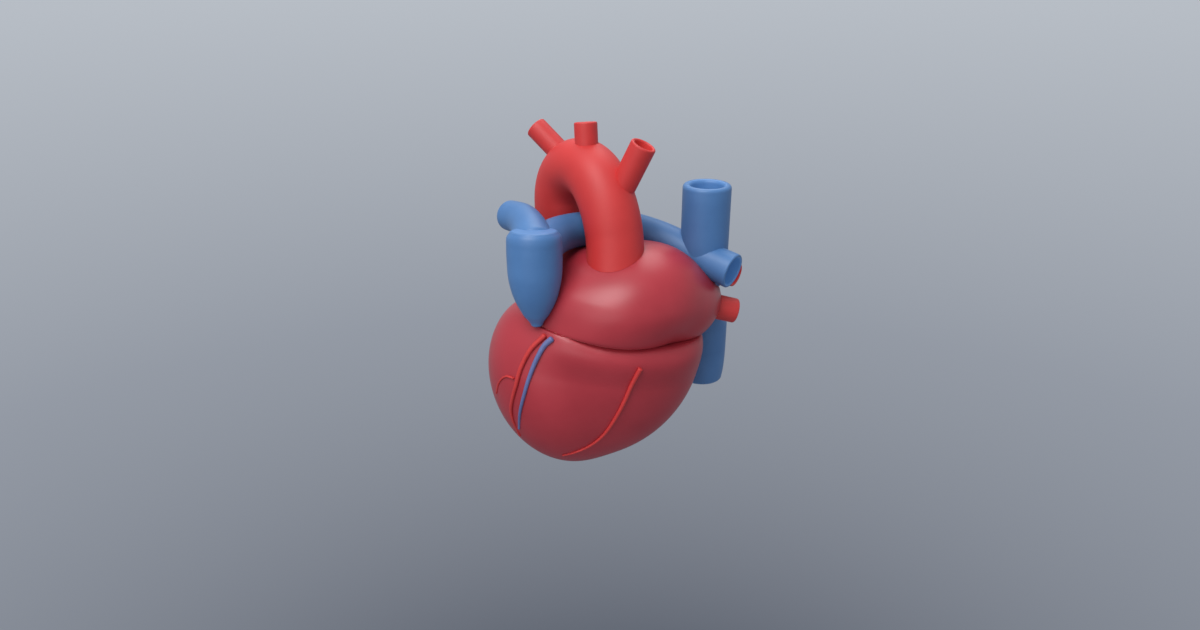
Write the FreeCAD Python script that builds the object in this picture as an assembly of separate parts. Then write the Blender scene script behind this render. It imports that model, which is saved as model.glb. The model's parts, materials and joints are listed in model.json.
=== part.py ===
import FreeCAD, Part  # noqa: E401  FreeCAD has to come first
import math
import os

from FreeCAD import Matrix, Placement, Rotation, Vector

# Life-size human heart model that comes apart for teaching. Millimetres, +Z up, the front faces -Y.
# The origin is the mouth of the stand socket under the heart, on the socket's axis.
# The heart is laid out as a mirror image: the venae cavae are on +X and the left ventricle is on -X.
# It comes apart at two flat joints: the valve plane under the atria, and an upright plane through
# both ventricles. "Height" below means the distance above the valve plane, square to it.

# ---- driving dimensions ----

# Outer lobes: centre, half sizes (wide, deep, high), and the tilt about Y that lifts the +X end
RIGHT_VENTRICLE_LOBE = dict(centre=(-1.0, -18.0, 57.5), half=(64.3, 43.5, 55.4), tilt=57.0)
LEFT_VENTRICLE_LOBE = dict(centre=(-21.5, -22.0, 45.0), half=(39.3, 39.5, 51.0), tilt=20.0)
ATRIAL_DOME = dict(centre=(8.5, -22.0, 86.0), half=(48.5, 43.5, 33.0), tilt=28.0)
RIGHT_ATRIAL_LOBE = dict(centre=(45.0, -11.0, 82.5), half=(19.5, 25.5, 13.5), tilt=30.0)
VENOUS_LOBE = dict(centre=(49.5, 5.0, 83.0), half=(14.5, 16.0, 12.0), tilt=15.0)
LEFT_ATRIAL_LOBE = dict(centre=(-14.0, -14.0, 90.5), half=(26.0, 34.0, 22.5), tilt=0.0)
VENTRICLE_BLEND = 2.0           # how softly the lobes melt together
ATRIAL_BLEND = 8.0
VENTRICLE_MIDDLE = (-8.0, -19.0, 45.0)
ATRIAL_MIDDLE = (10.0, -19.0, 93.0)
RING_POINTS = 40
FORM_RINGS = 18

# Valve plane: its height above the origin, and its fall towards +X
VALVE_PLANE_Z = 82.0
VALVE_PLANE_TILT = 9.5
SEAM_GAP = 0.2                  # between flat faces of pieces that come apart
SHOULDER_ROUND = 9.0            # the ventricles' upper edge
HEM_ROUND = 7.0                 # the atrial section's lower edge
EDGE_SOFTNESS = 0.5             # blend length of a soft edge, per millimetre of its radius
FLAT_ALLOWANCE = 1.0            # what the flat cut takes off a rounded edge
CREASE_CENTRE = (0.0, -19.0)
CREASE_FADE_ANGLE = 222.0       # where the crease between atria and ventricles fades out
CREASE_FADE_START = 8.0         # how far off that angle it starts to deepen, and how far off it is deep
CREASE_FADE_END = 48.0
CREASE_LEAST = 0.15             # its depth where it has faded out, as a share of the full depth
CREASE_RIGHT_FADE = 0.6         # how much shallower it is at the right
CREASE_RIGHT_REACH = 45.0       # and how far to both sides of +X

# Front window of the ventricles
WINDOW_Y = -18.0

# Chambers
RIGHT_WALL = 6.5
LEFT_WALL = 9.0
LEFT_CHAMBER = dict(centre=(-29.0, -5.0, 45.0), half=(18.0, 20.0, 34.0), tilt=8.0)
SEPTUM_POINT = (-14.0, -18.0)
SEPTUM_ANGLE = 57.0
RIGHT_CHAMBER_DEPTH = 66.0      # how far the right chamber reaches below the valve plane
RIGHT_ATRIUM = dict(centre=(43.0, -8.0, 86.0), half=(16.0, 18.0, 14.0), tilt=20.0)
LEFT_ATRIUM = dict(centre=(-17.5, -8.5, 92.0), half=(14.5, 13.5, 13.5), tilt=0.0)

# Valve plate and valves; places are (x, y) on the plate
PLATE_THICKNESS = 5.0
PLATE_OUTLINE_HEIGHT = -8.0     # the plate's edge follows the ventricles' outline at this height
PLATE_INSET = 10.5
PLATE_CLEARANCE = 0.3
SHELF = 4.0
MITRAL_PLACE = (-22.5, -14.5)
MITRAL_RADIUS = 11.0
TRICUSPID_PLACE = (30.0, -12.0)
TRICUSPID_RADIUS = 11.0
RING_WALL = 1.8
RING_HEIGHT = 3.0
LEAFLET = 0.9
LEAFLET_DROP = 13.0
LEAFLET_MOUTH = 5.0             # radius of a closed valve's lower end
LEAFLET_SLIT = 1.0
LEAFLET_ROOM = 0.3
MITRAL_ROOM = 9.0               # clear depth below a valve's leaflets
TRICUSPID_ROOM = 5.0
OUTLET_VALVE_RADIUS = 9.5
CUSP_RISE = 6.0
CUSP_SLIT = 0.6
VALVE_RING_FIT = 0.3            # round the pulmonary valve's ring, in the tapering trunk

# Aorta
AORTA_RADIUS = 15.3
AORTA_WALL = 2.6
AORTA_PLACE = (8.0, -26.0)
AORTA_SEAT_Z = 88.0
SLIDING_FIT = 0.08              # radial clearance of a piece that slides in its seat
ARCH_TURN = 34.0                # the arch runs from front right to back left, this far off the Y axis
ARCH_SPRING_Z = 121.0
ARCH_RISE_RADIUS = 46.0
ARCH_RISE_ANGLE = 45.0
ARCH_TOP_RADIUS = 23.5
AORTA_DROP = 22.0               # straight run of the descending limb
AORTA_ROOM = 0.5                # around that limb
OUTFLOW_RADIUS = 8.0
OUTFLOW_WALL = 3.0
OUTFLOW_START = (-24.0, -14.0, 58.0)
OUTFLOW_SHIFT = 2.0             # its top ends this far left of the aorta's axis

# Small arteries off the arch: where they leave its middle line, where they end, and their radii
BRANCH_WALL = 1.8
BRACHIOCEPHALIC_END = (22.2, -25.2, 177.7)
BRACHIOCEPHALIC_ROOT = (8.4, -20.2, 147.5)
BRACHIOCEPHALIC_RADIUS = 6.8
CAROTID_END = (-7.6, -3.0, 185.0)
CAROTID_ROOT = (-6.6, -6.5, 162.0)
CAROTID_RADIUS = 6.2
SUBCLAVIAN_END = (-36.1, 26.0, 177.1)
SUBCLAVIAN_ROOT = (-15.2, 14.0, 158.0)
SUBCLAVIAN_RADIUS = 6.2

# Pulmonary vessels: middle lines, with a radius at each point
PULMONARY_WALL = 1.8
TRUNK_POINTS = [(-32.7, -49.0, 89.5), (-32.9, -48.5, 95.0), (-33.0, -47.5, 103.0), (-33.2, -46.0, 113.0),
                (-33.2, -45.0, 123.0), (-33.2, -44.5, 131.0), (-33.2, -44.3, 135.5), (-33.2, -44.0, 137.8)]
TRUNK_RADII = [3.2, 7.0, 11.0, 13.6, 14.2, 14.0, 12.6, 9.8]
RIGHT_PULMONARY_POINTS = [(-33.0, -42.0, 128.0), (-21.0, -17.0, 128.0), (-7.0, -3.8, 127.0),
                          (12.0, 5.0, 125.0), (32.0, 7.0, 118.9), (53.0, -2.5, 111.6), (72.7, -16.6, 106.5)]
RIGHT_PULMONARY_RADII = [11.0, 9.8, 9.4, 9.4, 9.4, 9.6, 9.8]
LEFT_PULMONARY_POINTS = [(-33.0, -42.0, 130.0), (-36.5, -28.0, 133.5), (-41.5, -14.0, 135.0),
                         (-49.5, -2.0, 134.0)]
LEFT_PULMONARY_RADII = [11.0, 9.8, 8.8, 8.3]

# Veins
SUPERIOR_CAVA_WALL = 4.2
INFERIOR_CAVA_WALL = 3.8
SUPERIOR_CAVA_PLACE = (58.2, -1.0)
SUPERIOR_CAVA_RADIUS = 13.3
SUPERIOR_CAVA_TOP_Z = 151.3
SUPERIOR_CAVA_FOOT_Z = 98.0     # below this it narrows and leans into the atrium
SUPERIOR_CAVA_ROOT_PLACE = (50.0, -4.0)
SUPERIOR_CAVA_ROOT_RADIUS = 7.5
SUPERIOR_CAVA_ROOT_Z = 82.0
INFERIOR_CAVA_PLACE = (61.5, 13.0)
INFERIOR_CAVA_RADIUS = 14.0
INFERIOR_CAVA_SHOULDER_Z = 64.0
INFERIOR_CAVA_TOP_PLACE = (57.6, 9.1)
INFERIOR_CAVA_TOP_RADIUS = 8.0
INFERIOR_CAVA_TOP_Z = 90.0
INFERIOR_CAVA_END_Z = 27.6
INFERIOR_CAVA_END_RADIUS = 12.8
INFERIOR_CAVA_BELLY_Z = 38.0
CAVA_PORT_RADIUS = 5.0
CAVA_PORT_DROP = 8.0            # the port's middle lies this far below the top
CAVA_ROOM = 0.3
PULMONARY_VEIN_RADIUS = 7.0
PULMONARY_VEIN_WALL = 1.6
PULMONARY_VEINS = dict(
    upper_right_pulmonary_vein=[(36.0, 5.0, 91.0), (50.0, 14.0, 97.5), (64.5, 12.0, 99.6), (78.1, 3.5, 96.8)],
    lower_right_pulmonary_vein=[(52.0, -9.0, 86.0), (77.0, -6.9, 79.2)],
    upper_left_pulmonary_vein=[(-24.0, -6.0, 98.0), (-47.0, 13.0, 101.0)],
    lower_left_pulmonary_vein=[(-22.0, -2.0, 95.0), (-28.0, 34.0, 97.5)],
)

# Coronary vessels on the front wall: (x, z) of their middle lines, and the radii of both ends
CORONARY_SINK = 0.35            # share of the radius that lies below the wall's surface
CORONARIES = dict(
    anterior_interventricular_artery=([(-28.6, 84.8), (-36.0, 77.0), (-41.4, 66.7), (-44.4, 56.5),
                                       (-47.0, 46.7), (-48.0, 39.5), (-47.4, 32.2), (-44.4, 20.3)], 1.45, 0.6),
    diagonal_artery=([(-45.6, 60.0), (-49.5, 59.6), (-52.3, 57.2), (-54.8, 52.6), (-56.6, 45.0)], 0.7, 0.45),
    great_cardiac_vein=([(-24.9, 84.0), (-28.6, 80.4), (-32.8, 72.9), (-36.6, 63.6), (-40.1, 52.1),
                         (-42.8, 40.6), (-44.2, 27.7)], 1.6, 0.65),
    right_marginal_artery=([(20.7, 69.5), (16.7, 60.4), (12.6, 49.3), (7.5, 37.7), (1.6, 27.0),
                            (-5.4, 19.8), (-13.7, 14.7), (-20.4, 11.2)], 1.3, 0.5),
)

# Stand socket
ROD_RADIUS = 5.0
SOCKET_DEPTH = 30.0
SOCKET_APPROACH = 20.0          # clear way below the socket's mouth
BUSH_WALL = 2.0
BOSS_WALL = 4.5
BOSS_ROOF = 5.0

# Magnets, pins and pegs; places are (x, z) on the window's plane, or (x, y) on the valve plane
MAGNET_RADIUS = 3.0
MAGNET_LENGTH = 2.5
MAGNET_PLACES = [(-56.0, 46.0), (-22.0, 3.5), (46.0, 60.0)]
PAD_RADIUS = 5.5
PAD_LENGTH = 6.0
PIN_RADIUS = 2.0
PIN_REACH = 6.0
PIN_FIT = 0.05
PIN_PLACES = [(-57.0, 58.0), (-9.0, 38.0)]
PEG_RADIUS = 2.5
PEG_REACH = 4.0
PEG_ROOT = 8.0
PEG_PLACES = [(2.0, 4.0), (2.0, -46.0)]

# Papillary muscles: (x, y, z) of the root and of the tip, in each chamber
MUSCLE_RADIUS = 4.5
MUSCLE_TIP_RADIUS = 1.6
LEFT_MUSCLES = [((-42.0, -4.0, 28.0), (-33.5, -10.0, 55.0)), ((-22.0, 6.0, 26.0), (-21.5, -8.0, 55.0))]
RIGHT_MUSCLES = [((33.0, 4.0, 38.0), (32.5, -7.0, 50.0)), ((20.0, 12.0, 36.0), (23.0, -6.0, 50.0))]
CHORD_RADIUS = 0.6
CHORD_GAP = 0.8                 # between a cord's end and the muscle or leaflet it reaches for
CHORD_SPREAD = 28.0             # turn between the cords of one muscle

FAR = 400.0


# ---- the valve plane ----

PLANE_COS = math.cos(math.radians(VALVE_PLANE_TILT))
PLANE_SIN = math.sin(math.radians(VALVE_PLANE_TILT))
PLANE_UP = Vector(PLANE_SIN, 0, PLANE_COS)
PLANE_ACROSS = Vector(PLANE_COS, 0, -PLANE_SIN)


def on_plane(place, height=0.0):
    """The point of the valve plane at (x, y), moved by height square to the plane."""
    x, y = place
    return Vector(x, y, VALVE_PLANE_Z - x * PLANE_SIN / PLANE_COS) + PLANE_UP * height


def above_plane(height=0.0):
    """A block that holds everything above the given height."""
    block = Part.makeBox(FAR, FAR, FAR, Vector(-FAR / 2, -FAR / 2, 0))
    block.Placement = Placement(PLANE_UP * (VALVE_PLANE_Z * PLANE_COS + height),
                                Rotation(Vector(0, 1, 0), VALVE_PLANE_TILT))
    return block


def in_front(y):
    """A block that holds everything in front of y."""
    return Part.makeBox(FAR, FAR, FAR, Vector(-FAR / 2, y - FAR, -FAR / 2))


def behind(y):
    """A block that holds everything behind y."""
    return Part.makeBox(FAR, FAR, FAR, Vector(-FAR / 2, y, -FAR / 2))


# ---- basic shapes ----

def ellipsoid(centre, half, tilt, grow=0.0):
    """A solid ellipsoid."""
    scale = Matrix()
    scale.scale(half[0] + grow, half[1] + grow, half[2] + grow)
    solid = Part.makeSphere(1.0).transformGeometry(scale)
    solid.Placement = Placement(Vector(*centre), Rotation(Vector(0, 1, 0), -tilt))
    return solid


def bar(start, end, radius, end_radius=None):
    """A round bar between two points, tapered if it has an end radius."""
    start, end = Vector(*start), Vector(*end)
    length = (end - start).Length
    if end_radius is None or end_radius == radius:
        return Part.makeCylinder(radius, length, start, end - start)
    return Part.makeCone(radius, end_radius, length, start, end - start)


def on_from(start, end, distance):
    """The point a distance beyond end, on the line from start."""
    start, end = Vector(*start), Vector(*end)
    return end + (end - start).normalize() * distance


def lofted_bar(points, radii):
    """A solid round bar through the points, with a radius at each. Its rings keep their seams in line."""
    points = [Vector(*point) for point in points]
    path = Part.BSplineCurve()
    path.interpolate(points)
    side = (points[1] - points[0]).cross(Vector(0.3, 0.5, 0.8))
    rings = []
    for point, radius in zip(points, radii):
        direction = path.tangent(path.parameter(point))[0]
        side = (side - direction * side.dot(direction)).normalize()
        ring = Part.Wire(Part.makeCircle(radius))
        ring.Placement = Placement(point, Rotation(side, Vector(), direction, "ZXY"))
        rings.append(ring)
    return Part.makeLoft(rings, True)


def cut(shape, *tools):
    for tool in tools:
        shape = shape.cut(tool)
    return shape


def whole(shape):
    """The one big solid of a cut shape, without crumbs."""
    return max(shape.Solids, key=lambda solid: solid.Volume)


# ---- smooth lobed bodies ----

def lobe_distance(lobe, point):
    """Roughly how far the point lies outside the lobe; negative inside."""
    tilt = math.radians(lobe["tilt"])
    v = point - Vector(*lobe["centre"])
    local = (v.x * math.cos(tilt) + v.z * math.sin(tilt), v.y, v.z * math.cos(tilt) - v.x * math.sin(tilt))
    near = math.sqrt(sum((k / h) ** 2 for k, h in zip(local, lobe["half"])))
    slope = math.sqrt(sum((k / h ** 2) ** 2 for k, h in zip(local, lobe["half"])))
    return near * (near - 1.0) / slope if slope > 1e-9 else -min(lobe["half"])


def lobes_distance(lobes, point):
    """The same for lobes that are melted together over their blend length."""
    blend, parts = lobes
    nearest = [lobe_distance(lobe, point) for lobe in parts]
    low = min(nearest)
    return low - blend * math.log(sum(math.exp((low - d) / blend) for d in nearest))


def surface_point(distance, start, direction):
    """Where the ray from start, which is inside, leaves the surface on which distance is 0."""
    inside, outside = 0.0, 150.0
    for _ in range(34):
        middle = (inside + outside) / 2
        if distance(start + direction * middle) < 0:
            inside = middle
        else:
            outside = middle
    return start + direction * inside


def smooth_step(value):
    """Rises from 0 to 1 with soft ends while value does."""
    value = min(1.0, max(0.0, value))
    return value * value * (3.0 - 2.0 * value)


def crease_depth(point):
    """1 where the crease between atria and ventricles is deep, near 0 where it fades out."""
    angle = math.degrees(math.atan2(point.y - CREASE_CENTRE[1], point.x - CREASE_CENTRE[0]))
    off = abs((angle - CREASE_FADE_ANGLE + 180.0) % 360.0 - 180.0)
    fade = smooth_step((off - CREASE_FADE_START) / (CREASE_FADE_END - CREASE_FADE_START))
    shallow = 1.0 - CREASE_RIGHT_FADE * smooth_step(1.0 - abs(angle) / CREASE_RIGHT_REACH)
    return CREASE_LEAST + (1.0 - CREASE_LEAST) * fade * shallow


def closed_curve(points):
    curve = Part.BSplineCurve()
    curve.interpolate(Points=points, PeriodicFlag=True)
    return Part.Wire(curve.toShape())


def ring_rays():
    """Directions all round, in the valve plane."""
    for i in range(RING_POINTS):
        angle = 2 * math.pi * i / RING_POINTS
        yield PLANE_ACROSS * math.cos(angle) + Vector(0, math.sin(angle), 0)


def rounded_form(lobes, middle, side, flat, edge_round):
    """The melted lobes on one side (1 above, -1 below) of the height flat, with a rounded edge there."""
    middle = Vector(*middle)

    def distance(point):
        body = lobes_distance(lobes, point)
        beyond = side * (flat - (point.dot(PLANE_UP) - VALVE_PLANE_Z * PLANE_COS))
        soft = edge_round * EDGE_SOFTNESS * crease_depth(point)
        high = max(body, beyond)
        return high + soft * math.log(math.exp((body - high) / soft) + math.exp((beyond - high) / soft))

    sections = [Part.Vertex(surface_point(distance, middle, PLANE_UP))]
    for ring in range(1, FORM_RINGS):
        polar = math.pi * ring / FORM_RINGS
        rise = PLANE_UP * math.cos(polar)
        sections.append(closed_curve([surface_point(distance, middle, rise + out * math.sin(polar))
                                      for out in ring_rays()]))
    sections.append(Part.Vertex(surface_point(distance, middle, PLANE_UP * -1)))
    return Part.makeLoft(sections, True)


def outline(lobes, middle, height, inset, at_height=None):
    """The closed smooth outline of the lobes at a height, drawn in by inset, and moved to at_height."""
    centre = on_plane(middle, height)
    shift = PLANE_UP * ((at_height - height) if at_height is not None else 0.0)
    return closed_curve([surface_point(lambda p: lobes_distance(lobes, p) + inset, centre, ray) + shift
                         for ray in ring_rays()])


VENTRICLE_LOBES = (VENTRICLE_BLEND, [RIGHT_VENTRICLE_LOBE, LEFT_VENTRICLE_LOBE])
ATRIAL_LOBES = (ATRIAL_BLEND, [ATRIAL_DOME, RIGHT_ATRIAL_LOBE, VENOUS_LOBE, LEFT_ATRIAL_LOBE])
OUTLINE_MIDDLE = (0.0, WINDOW_Y)


def ventricle_form():
    form = rounded_form(VENTRICLE_LOBES, VENTRICLE_MIDDLE, -1, FLAT_ALLOWANCE, SHOULDER_ROUND)
    return form.cut(above_plane())


def atrial_form():
    form = rounded_form(ATRIAL_LOBES, ATRIAL_MIDDLE, 1, SEAM_GAP - FLAT_ALLOWANCE, HEM_ROUND)
    return form.common(above_plane(SEAM_GAP))


# ---- ventricles ----

def right_chamber():
    """The crescent-shaped right chamber: the outside form drawn in by its wall, beyond the septum."""
    levels = [(PLATE_THICKNESS, PLATE_INSET + SHELF), (11, RIGHT_WALL + 4), (18, RIGHT_WALL + 1),
              (28, RIGHT_WALL), (40, RIGHT_WALL), (52, RIGHT_WALL), (RIGHT_CHAMBER_DEPTH, RIGHT_WALL + 2)]
    rings = [outline(VENTRICLE_LOBES, OUTLINE_MIDDLE, -depth, inset) for depth, inset in levels]
    form = Part.makeLoft(rings, True)
    far_side = Part.makeBox(FAR, FAR, FAR, Vector(-FAR / 2, 0, -FAR / 2))
    far_side.Placement = Placement(Vector(*SEPTUM_POINT, 0), Rotation(Vector(0, 0, 1), SEPTUM_ANGLE))
    return cut(form, far_side, ellipsoid(**LEFT_CHAMBER, grow=LEFT_WALL), outflow(OUTFLOW_WALL), boss())


def outflow(grow=0.0):
    """The way from the left chamber up to the aortic valve."""
    x, y = AORTA_PLACE
    top = on_plane((x - OUTFLOW_SHIFT, y), 1.0 if grow == 0 else -PLATE_THICKNESS)
    return bar(OUTFLOW_START, top, OUTFLOW_RADIUS + grow)


def boss():
    """The stand socket's boss, in the septum."""
    radius = ROD_RADIUS + BUSH_WALL + BOSS_WALL
    return Part.makeCylinder(radius, SOCKET_DEPTH + BOSS_ROOF, Vector(0, 0, 0))


def plate_block(clearance=0.0, top=0.0):
    """The valve plate without its openings."""
    inset = PLATE_INSET - clearance
    below = outline(VENTRICLE_LOBES, OUTLINE_MIDDLE, PLATE_OUTLINE_HEIGHT, inset, -PLATE_THICKNESS)
    above = outline(VENTRICLE_LOBES, OUTLINE_MIDDLE, PLATE_OUTLINE_HEIGHT, inset, top)
    return Part.makeLoft([below, above], True)


def plate_holes():
    """The valve seats and peg holes, right through the plate."""
    seats = [(MITRAL_PLACE, MITRAL_RADIUS + RING_WALL), (TRICUSPID_PLACE, TRICUSPID_RADIUS + RING_WALL),
             (AORTA_PLACE, OUTLET_VALVE_RADIUS + RING_WALL)]
    seats += [(place, PEG_RADIUS + SLIDING_FIT) for place in PEG_PLACES]
    return [Part.makeCylinder(radius, PLATE_THICKNESS + 2, on_plane(place, -PLATE_THICKNESS - 1), PLANE_UP)
            for place, radius in seats]


def inflow_valve(place, radius, leaflets):
    """A ring in the plate with leaflets that close downwards."""
    base = on_plane(place, -PLATE_THICKNESS)
    ring = Part.makeCylinder(radius + RING_WALL, RING_HEIGHT, base, PLANE_UP)
    tip = base - PLANE_UP * LEAFLET_DROP
    skirt = Part.makeCone(LEAFLET_MOUTH + LEAFLET, radius + LEAFLET, LEAFLET_DROP, tip, PLANE_UP)
    inside = Part.makeCone(LEAFLET_MOUTH, radius, LEAFLET_DROP, tip, PLANE_UP)
    shape = skirt.cut(inside)
    for i in range(leaflets):
        slit = Part.makeBox(radius + 5, LEAFLET_SLIT, LEAFLET_DROP - 2, Vector(0, -LEAFLET_SLIT / 2, 0))
        slit.Placement = Placement(tip, Rotation(Vector(0, 0, 1), PLANE_UP)).multiply(
            Placement(Vector(0, 0, 0), Rotation(Vector(0, 0, 1), 90 + 360.0 * i / leaflets)))
        shape = shape.cut(slit)
    bore = Part.makeCylinder(radius, RING_HEIGHT + 2, base - PLANE_UP, PLANE_UP)
    return ring.cut(bore).fuse(shape).removeSplitter()


def outlet_valve(base, up, radius):
    """A ring with three pocket cusps that bulge the way the blood leaves."""
    ring = Part.makeCylinder(radius + RING_WALL, RING_HEIGHT, base, up)
    scale, hole = Matrix(), Matrix()
    scale.scale(radius, radius, CUSP_RISE)
    hole.scale(radius - LEAFLET, radius - LEAFLET, CUSP_RISE - LEAFLET)
    dome = Part.makeSphere(1.0).transformGeometry(scale).cut(Part.makeSphere(1.0).transformGeometry(hole))
    dome = dome.common(Part.makeCylinder(radius + 1, CUSP_RISE + 1, Vector(0, 0, 0)))
    for i in range(3):
        slit = Part.makeBox(radius + 5, CUSP_SLIT, CUSP_RISE, Vector(0, -CUSP_SLIT / 2, 1.5))
        slit.Placement = Placement(Vector(0, 0, 0), Rotation(Vector(0, 0, 1), 30 + 120.0 * i))
        dome = dome.cut(slit)
    dome.Placement = Placement(base, Rotation(Vector(0, 0, 1), up))
    bore = Part.makeCylinder(radius - LEAFLET / 2, RING_HEIGHT + 2, base - up, up)
    return ring.cut(bore).fuse(dome).removeSplitter()


def muscles(pairs, chamber):
    """Papillary muscles, trimmed to the chamber's wall at their roots."""
    return Part.makeCompound([whole(bar(root, tip, MUSCLE_RADIUS, MUSCLE_TIP_RADIUS).common(chamber))
                              for root, tip in pairs])


def chords(pairs, place):
    """Cords from just above each muscle's tip to just below the edge of the leaflets."""
    level = -PLATE_THICKNESS - LEAFLET_DROP - CHORD_GAP
    middle = on_plane(place, level)
    cords = []
    for root, tip in pairs:
        tip = on_from(root, tip, CHORD_GAP)
        out = Vector(tip.x - middle.x, tip.y - middle.y, 0).normalize() * (LEAFLET_MOUTH + LEAFLET / 2)
        for turn in (-CHORD_SPREAD, 0.0, CHORD_SPREAD):
            way = Rotation(Vector(0, 0, 1), turn).multVec(out)
            edge = on_plane((place[0] + way.x, place[1] + way.y), level)
            cords.append(bar(tip, edge, CHORD_RADIUS))
    return Part.makeCompound(cords)


# ---- coronary vessels ----

def coronary(points, radius, end_radius):
    """A tapering vessel that lies along the front of the ventricles."""
    radii = [radius + (end_radius - radius) * i / (len(points) - 1) for i in range(len(points))]
    middle_line = []
    for (x, z), r in zip(points, radii):
        start = Vector(x, WINDOW_Y, z)
        point = surface_point(lambda p: lobes_distance(VENTRICLE_LOBES, p), start, Vector(0, -1, 0))
        middle_line.append((point.x, point.y - r * (1 - CORONARY_SINK), point.z))
    return lofted_bar(middle_line, radii)


# ---- aorta ----

ARCH_BACK = Vector(-math.sin(math.radians(ARCH_TURN)), math.cos(math.radians(ARCH_TURN)), 0)


def arch_point(radius, centre_u, centre_z, angle):
    """A point of the arch at an angle from the front horizontal, in the arch's own upright plane."""
    a = math.radians(angle)
    foot = Vector(*AORTA_PLACE, 0)
    foot += ARCH_BACK * (centre_u - radius * math.cos(a))
    return foot + Vector(0, 0, centre_z + radius * math.sin(a))


def arch_rise(angle):
    return arch_point(ARCH_RISE_RADIUS, ARCH_RISE_RADIUS, ARCH_SPRING_Z, angle)


def arch_top(angle):
    a = math.radians(ARCH_RISE_ANGLE)
    gap = ARCH_RISE_RADIUS - ARCH_TOP_RADIUS
    centre_u = ARCH_RISE_RADIUS - gap * math.cos(a)
    return arch_point(ARCH_TOP_RADIUS, centre_u, ARCH_SPRING_Z + gap * math.sin(a), angle)


def aorta_pipe(radius, start_z, drop):
    """The aorta as a solid pipe from start_z up, over the arch, and down by drop."""
    start = Vector(*AORTA_PLACE, start_z)
    middle = (ARCH_RISE_ANGLE + 180.0) / 2
    rise = Part.Arc(arch_rise(0), arch_rise(ARCH_RISE_ANGLE / 2), arch_rise(ARCH_RISE_ANGLE))
    wire = Part.Wire([Part.LineSegment(start, arch_rise(0)).toShape(), rise.toShape(),
                      Part.Arc(arch_top(ARCH_RISE_ANGLE), arch_top(middle), arch_top(180.0)).toShape(),
                      Part.LineSegment(arch_top(180.0), arch_top(180.0) - Vector(0, 0, drop)).toShape()])
    profile = Part.Wire(Part.makeCircle(radius, start, Vector(0, 0, 1)))
    return wire.makePipeShell([profile], True, False)


# ---- nodes ----

NODES = {}


def keep(name, shape):
    NODES[name] = shape


def discs(radius, places, low_y, high_y):
    """Short bars along Y at (x, z) places."""
    return [bar((x, low_y, z), (x, high_y, z), radius) for x, z in places]


def build_ventricles():
    form = ventricle_form()
    left = ellipsoid(**LEFT_CHAMBER)
    right = right_chamber()
    room = LEAFLET + LEAFLET_ROOM
    valves = [(MITRAL_PLACE, MITRAL_RADIUS, MITRAL_ROOM), (TRICUSPID_PLACE, TRICUSPID_RADIUS, TRICUSPID_ROOM)]
    inlets = [bar(on_plane(place, -PLATE_THICKNESS - LEAFLET_DROP - depth), on_plane(place, 1), radius + room)
              for place, radius, depth in valves]
    pads = discs(PAD_RADIUS, MAGNET_PLACES, WINDOW_Y - PAD_LENGTH, WINDOW_Y + PAD_LENGTH)
    body = form.cut(left).cut(right)
    body = body.fuse([form.common(pad) for pad in pads])
    body = cut(body, plate_block(PLATE_CLEARANCE, 1.0), outflow(), *inlets)
    body = body.fuse(boss().cut(left))
    body = body.cut(bar((0, 0, -SOCKET_APPROACH), (0, 0, SOCKET_DEPTH), ROD_RADIUS + BUSH_WALL))

    edge = SEAM_GAP / 2
    pins = discs(PIN_RADIUS, PIN_PLACES, WINDOW_Y - PIN_REACH, WINDOW_Y + PIN_REACH)
    pin_ways = discs(PIN_RADIUS + PIN_FIT, PIN_PLACES, WINDOW_Y - PIN_REACH - 1, WINDOW_Y)
    back_magnets = discs(MAGNET_RADIUS, MAGNET_PLACES, WINDOW_Y + edge, WINDOW_Y + edge + MAGNET_LENGTH)
    front_magnets = discs(MAGNET_RADIUS, MAGNET_PLACES, WINDOW_Y - edge - MAGNET_LENGTH, WINDOW_Y - edge)
    back = cut(body.common(behind(WINDOW_Y + edge)), *back_magnets, *pins)
    front = cut(body.common(in_front(WINDOW_Y - edge)), *front_magnets, *pin_ways)
    vessels = {name: coronary(*values) for name, values in CORONARIES.items()}
    for name in ("diagonal_artery", "great_cardiac_vein"):
        vessels[name] = vessels[name].cut(vessels["anterior_interventricular_artery"])
    front = cut(front, *vessels.values())

    keep("back_ventricle_wall", whole(back))
    keep("front_ventricle_wall", whole(front))
    for name, vessel in vessels.items():
        keep(name, whole(vessel))
    keep("back_wall_magnets", Part.makeCompound(back_magnets))
    keep("front_wall_magnets", Part.makeCompound(front_magnets))
    keep("wall_locating_pins", Part.makeCompound(pins))
    keep("stand_socket_bush", Part.makeCylinder(ROD_RADIUS + BUSH_WALL, SOCKET_DEPTH, Vector(0, 0, 0)).cut(
        Part.makeCylinder(ROD_RADIUS, SOCKET_DEPTH + 2, Vector(0, 0, -1))))
    keep("valve_plate", cut(plate_block(), *plate_holes()))
    keep("mitral_valve", inflow_valve(MITRAL_PLACE, MITRAL_RADIUS, 2))
    keep("tricuspid_valve", inflow_valve(TRICUSPID_PLACE, TRICUSPID_RADIUS, 3))
    seat = on_plane(AORTA_PLACE, -PLATE_THICKNESS)
    keep("aortic_valve", outlet_valve(seat, PLANE_UP, OUTLET_VALVE_RADIUS))
    keep("left_papillary_muscles", muscles(LEFT_MUSCLES, left))
    keep("right_papillary_muscles", muscles(RIGHT_MUSCLES, right))
    keep("left_chordae_tendineae", chords(LEFT_MUSCLES, MITRAL_PLACE))
    keep("right_chordae_tendineae", chords(RIGHT_MUSCLES, TRICUSPID_PLACE))


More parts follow.
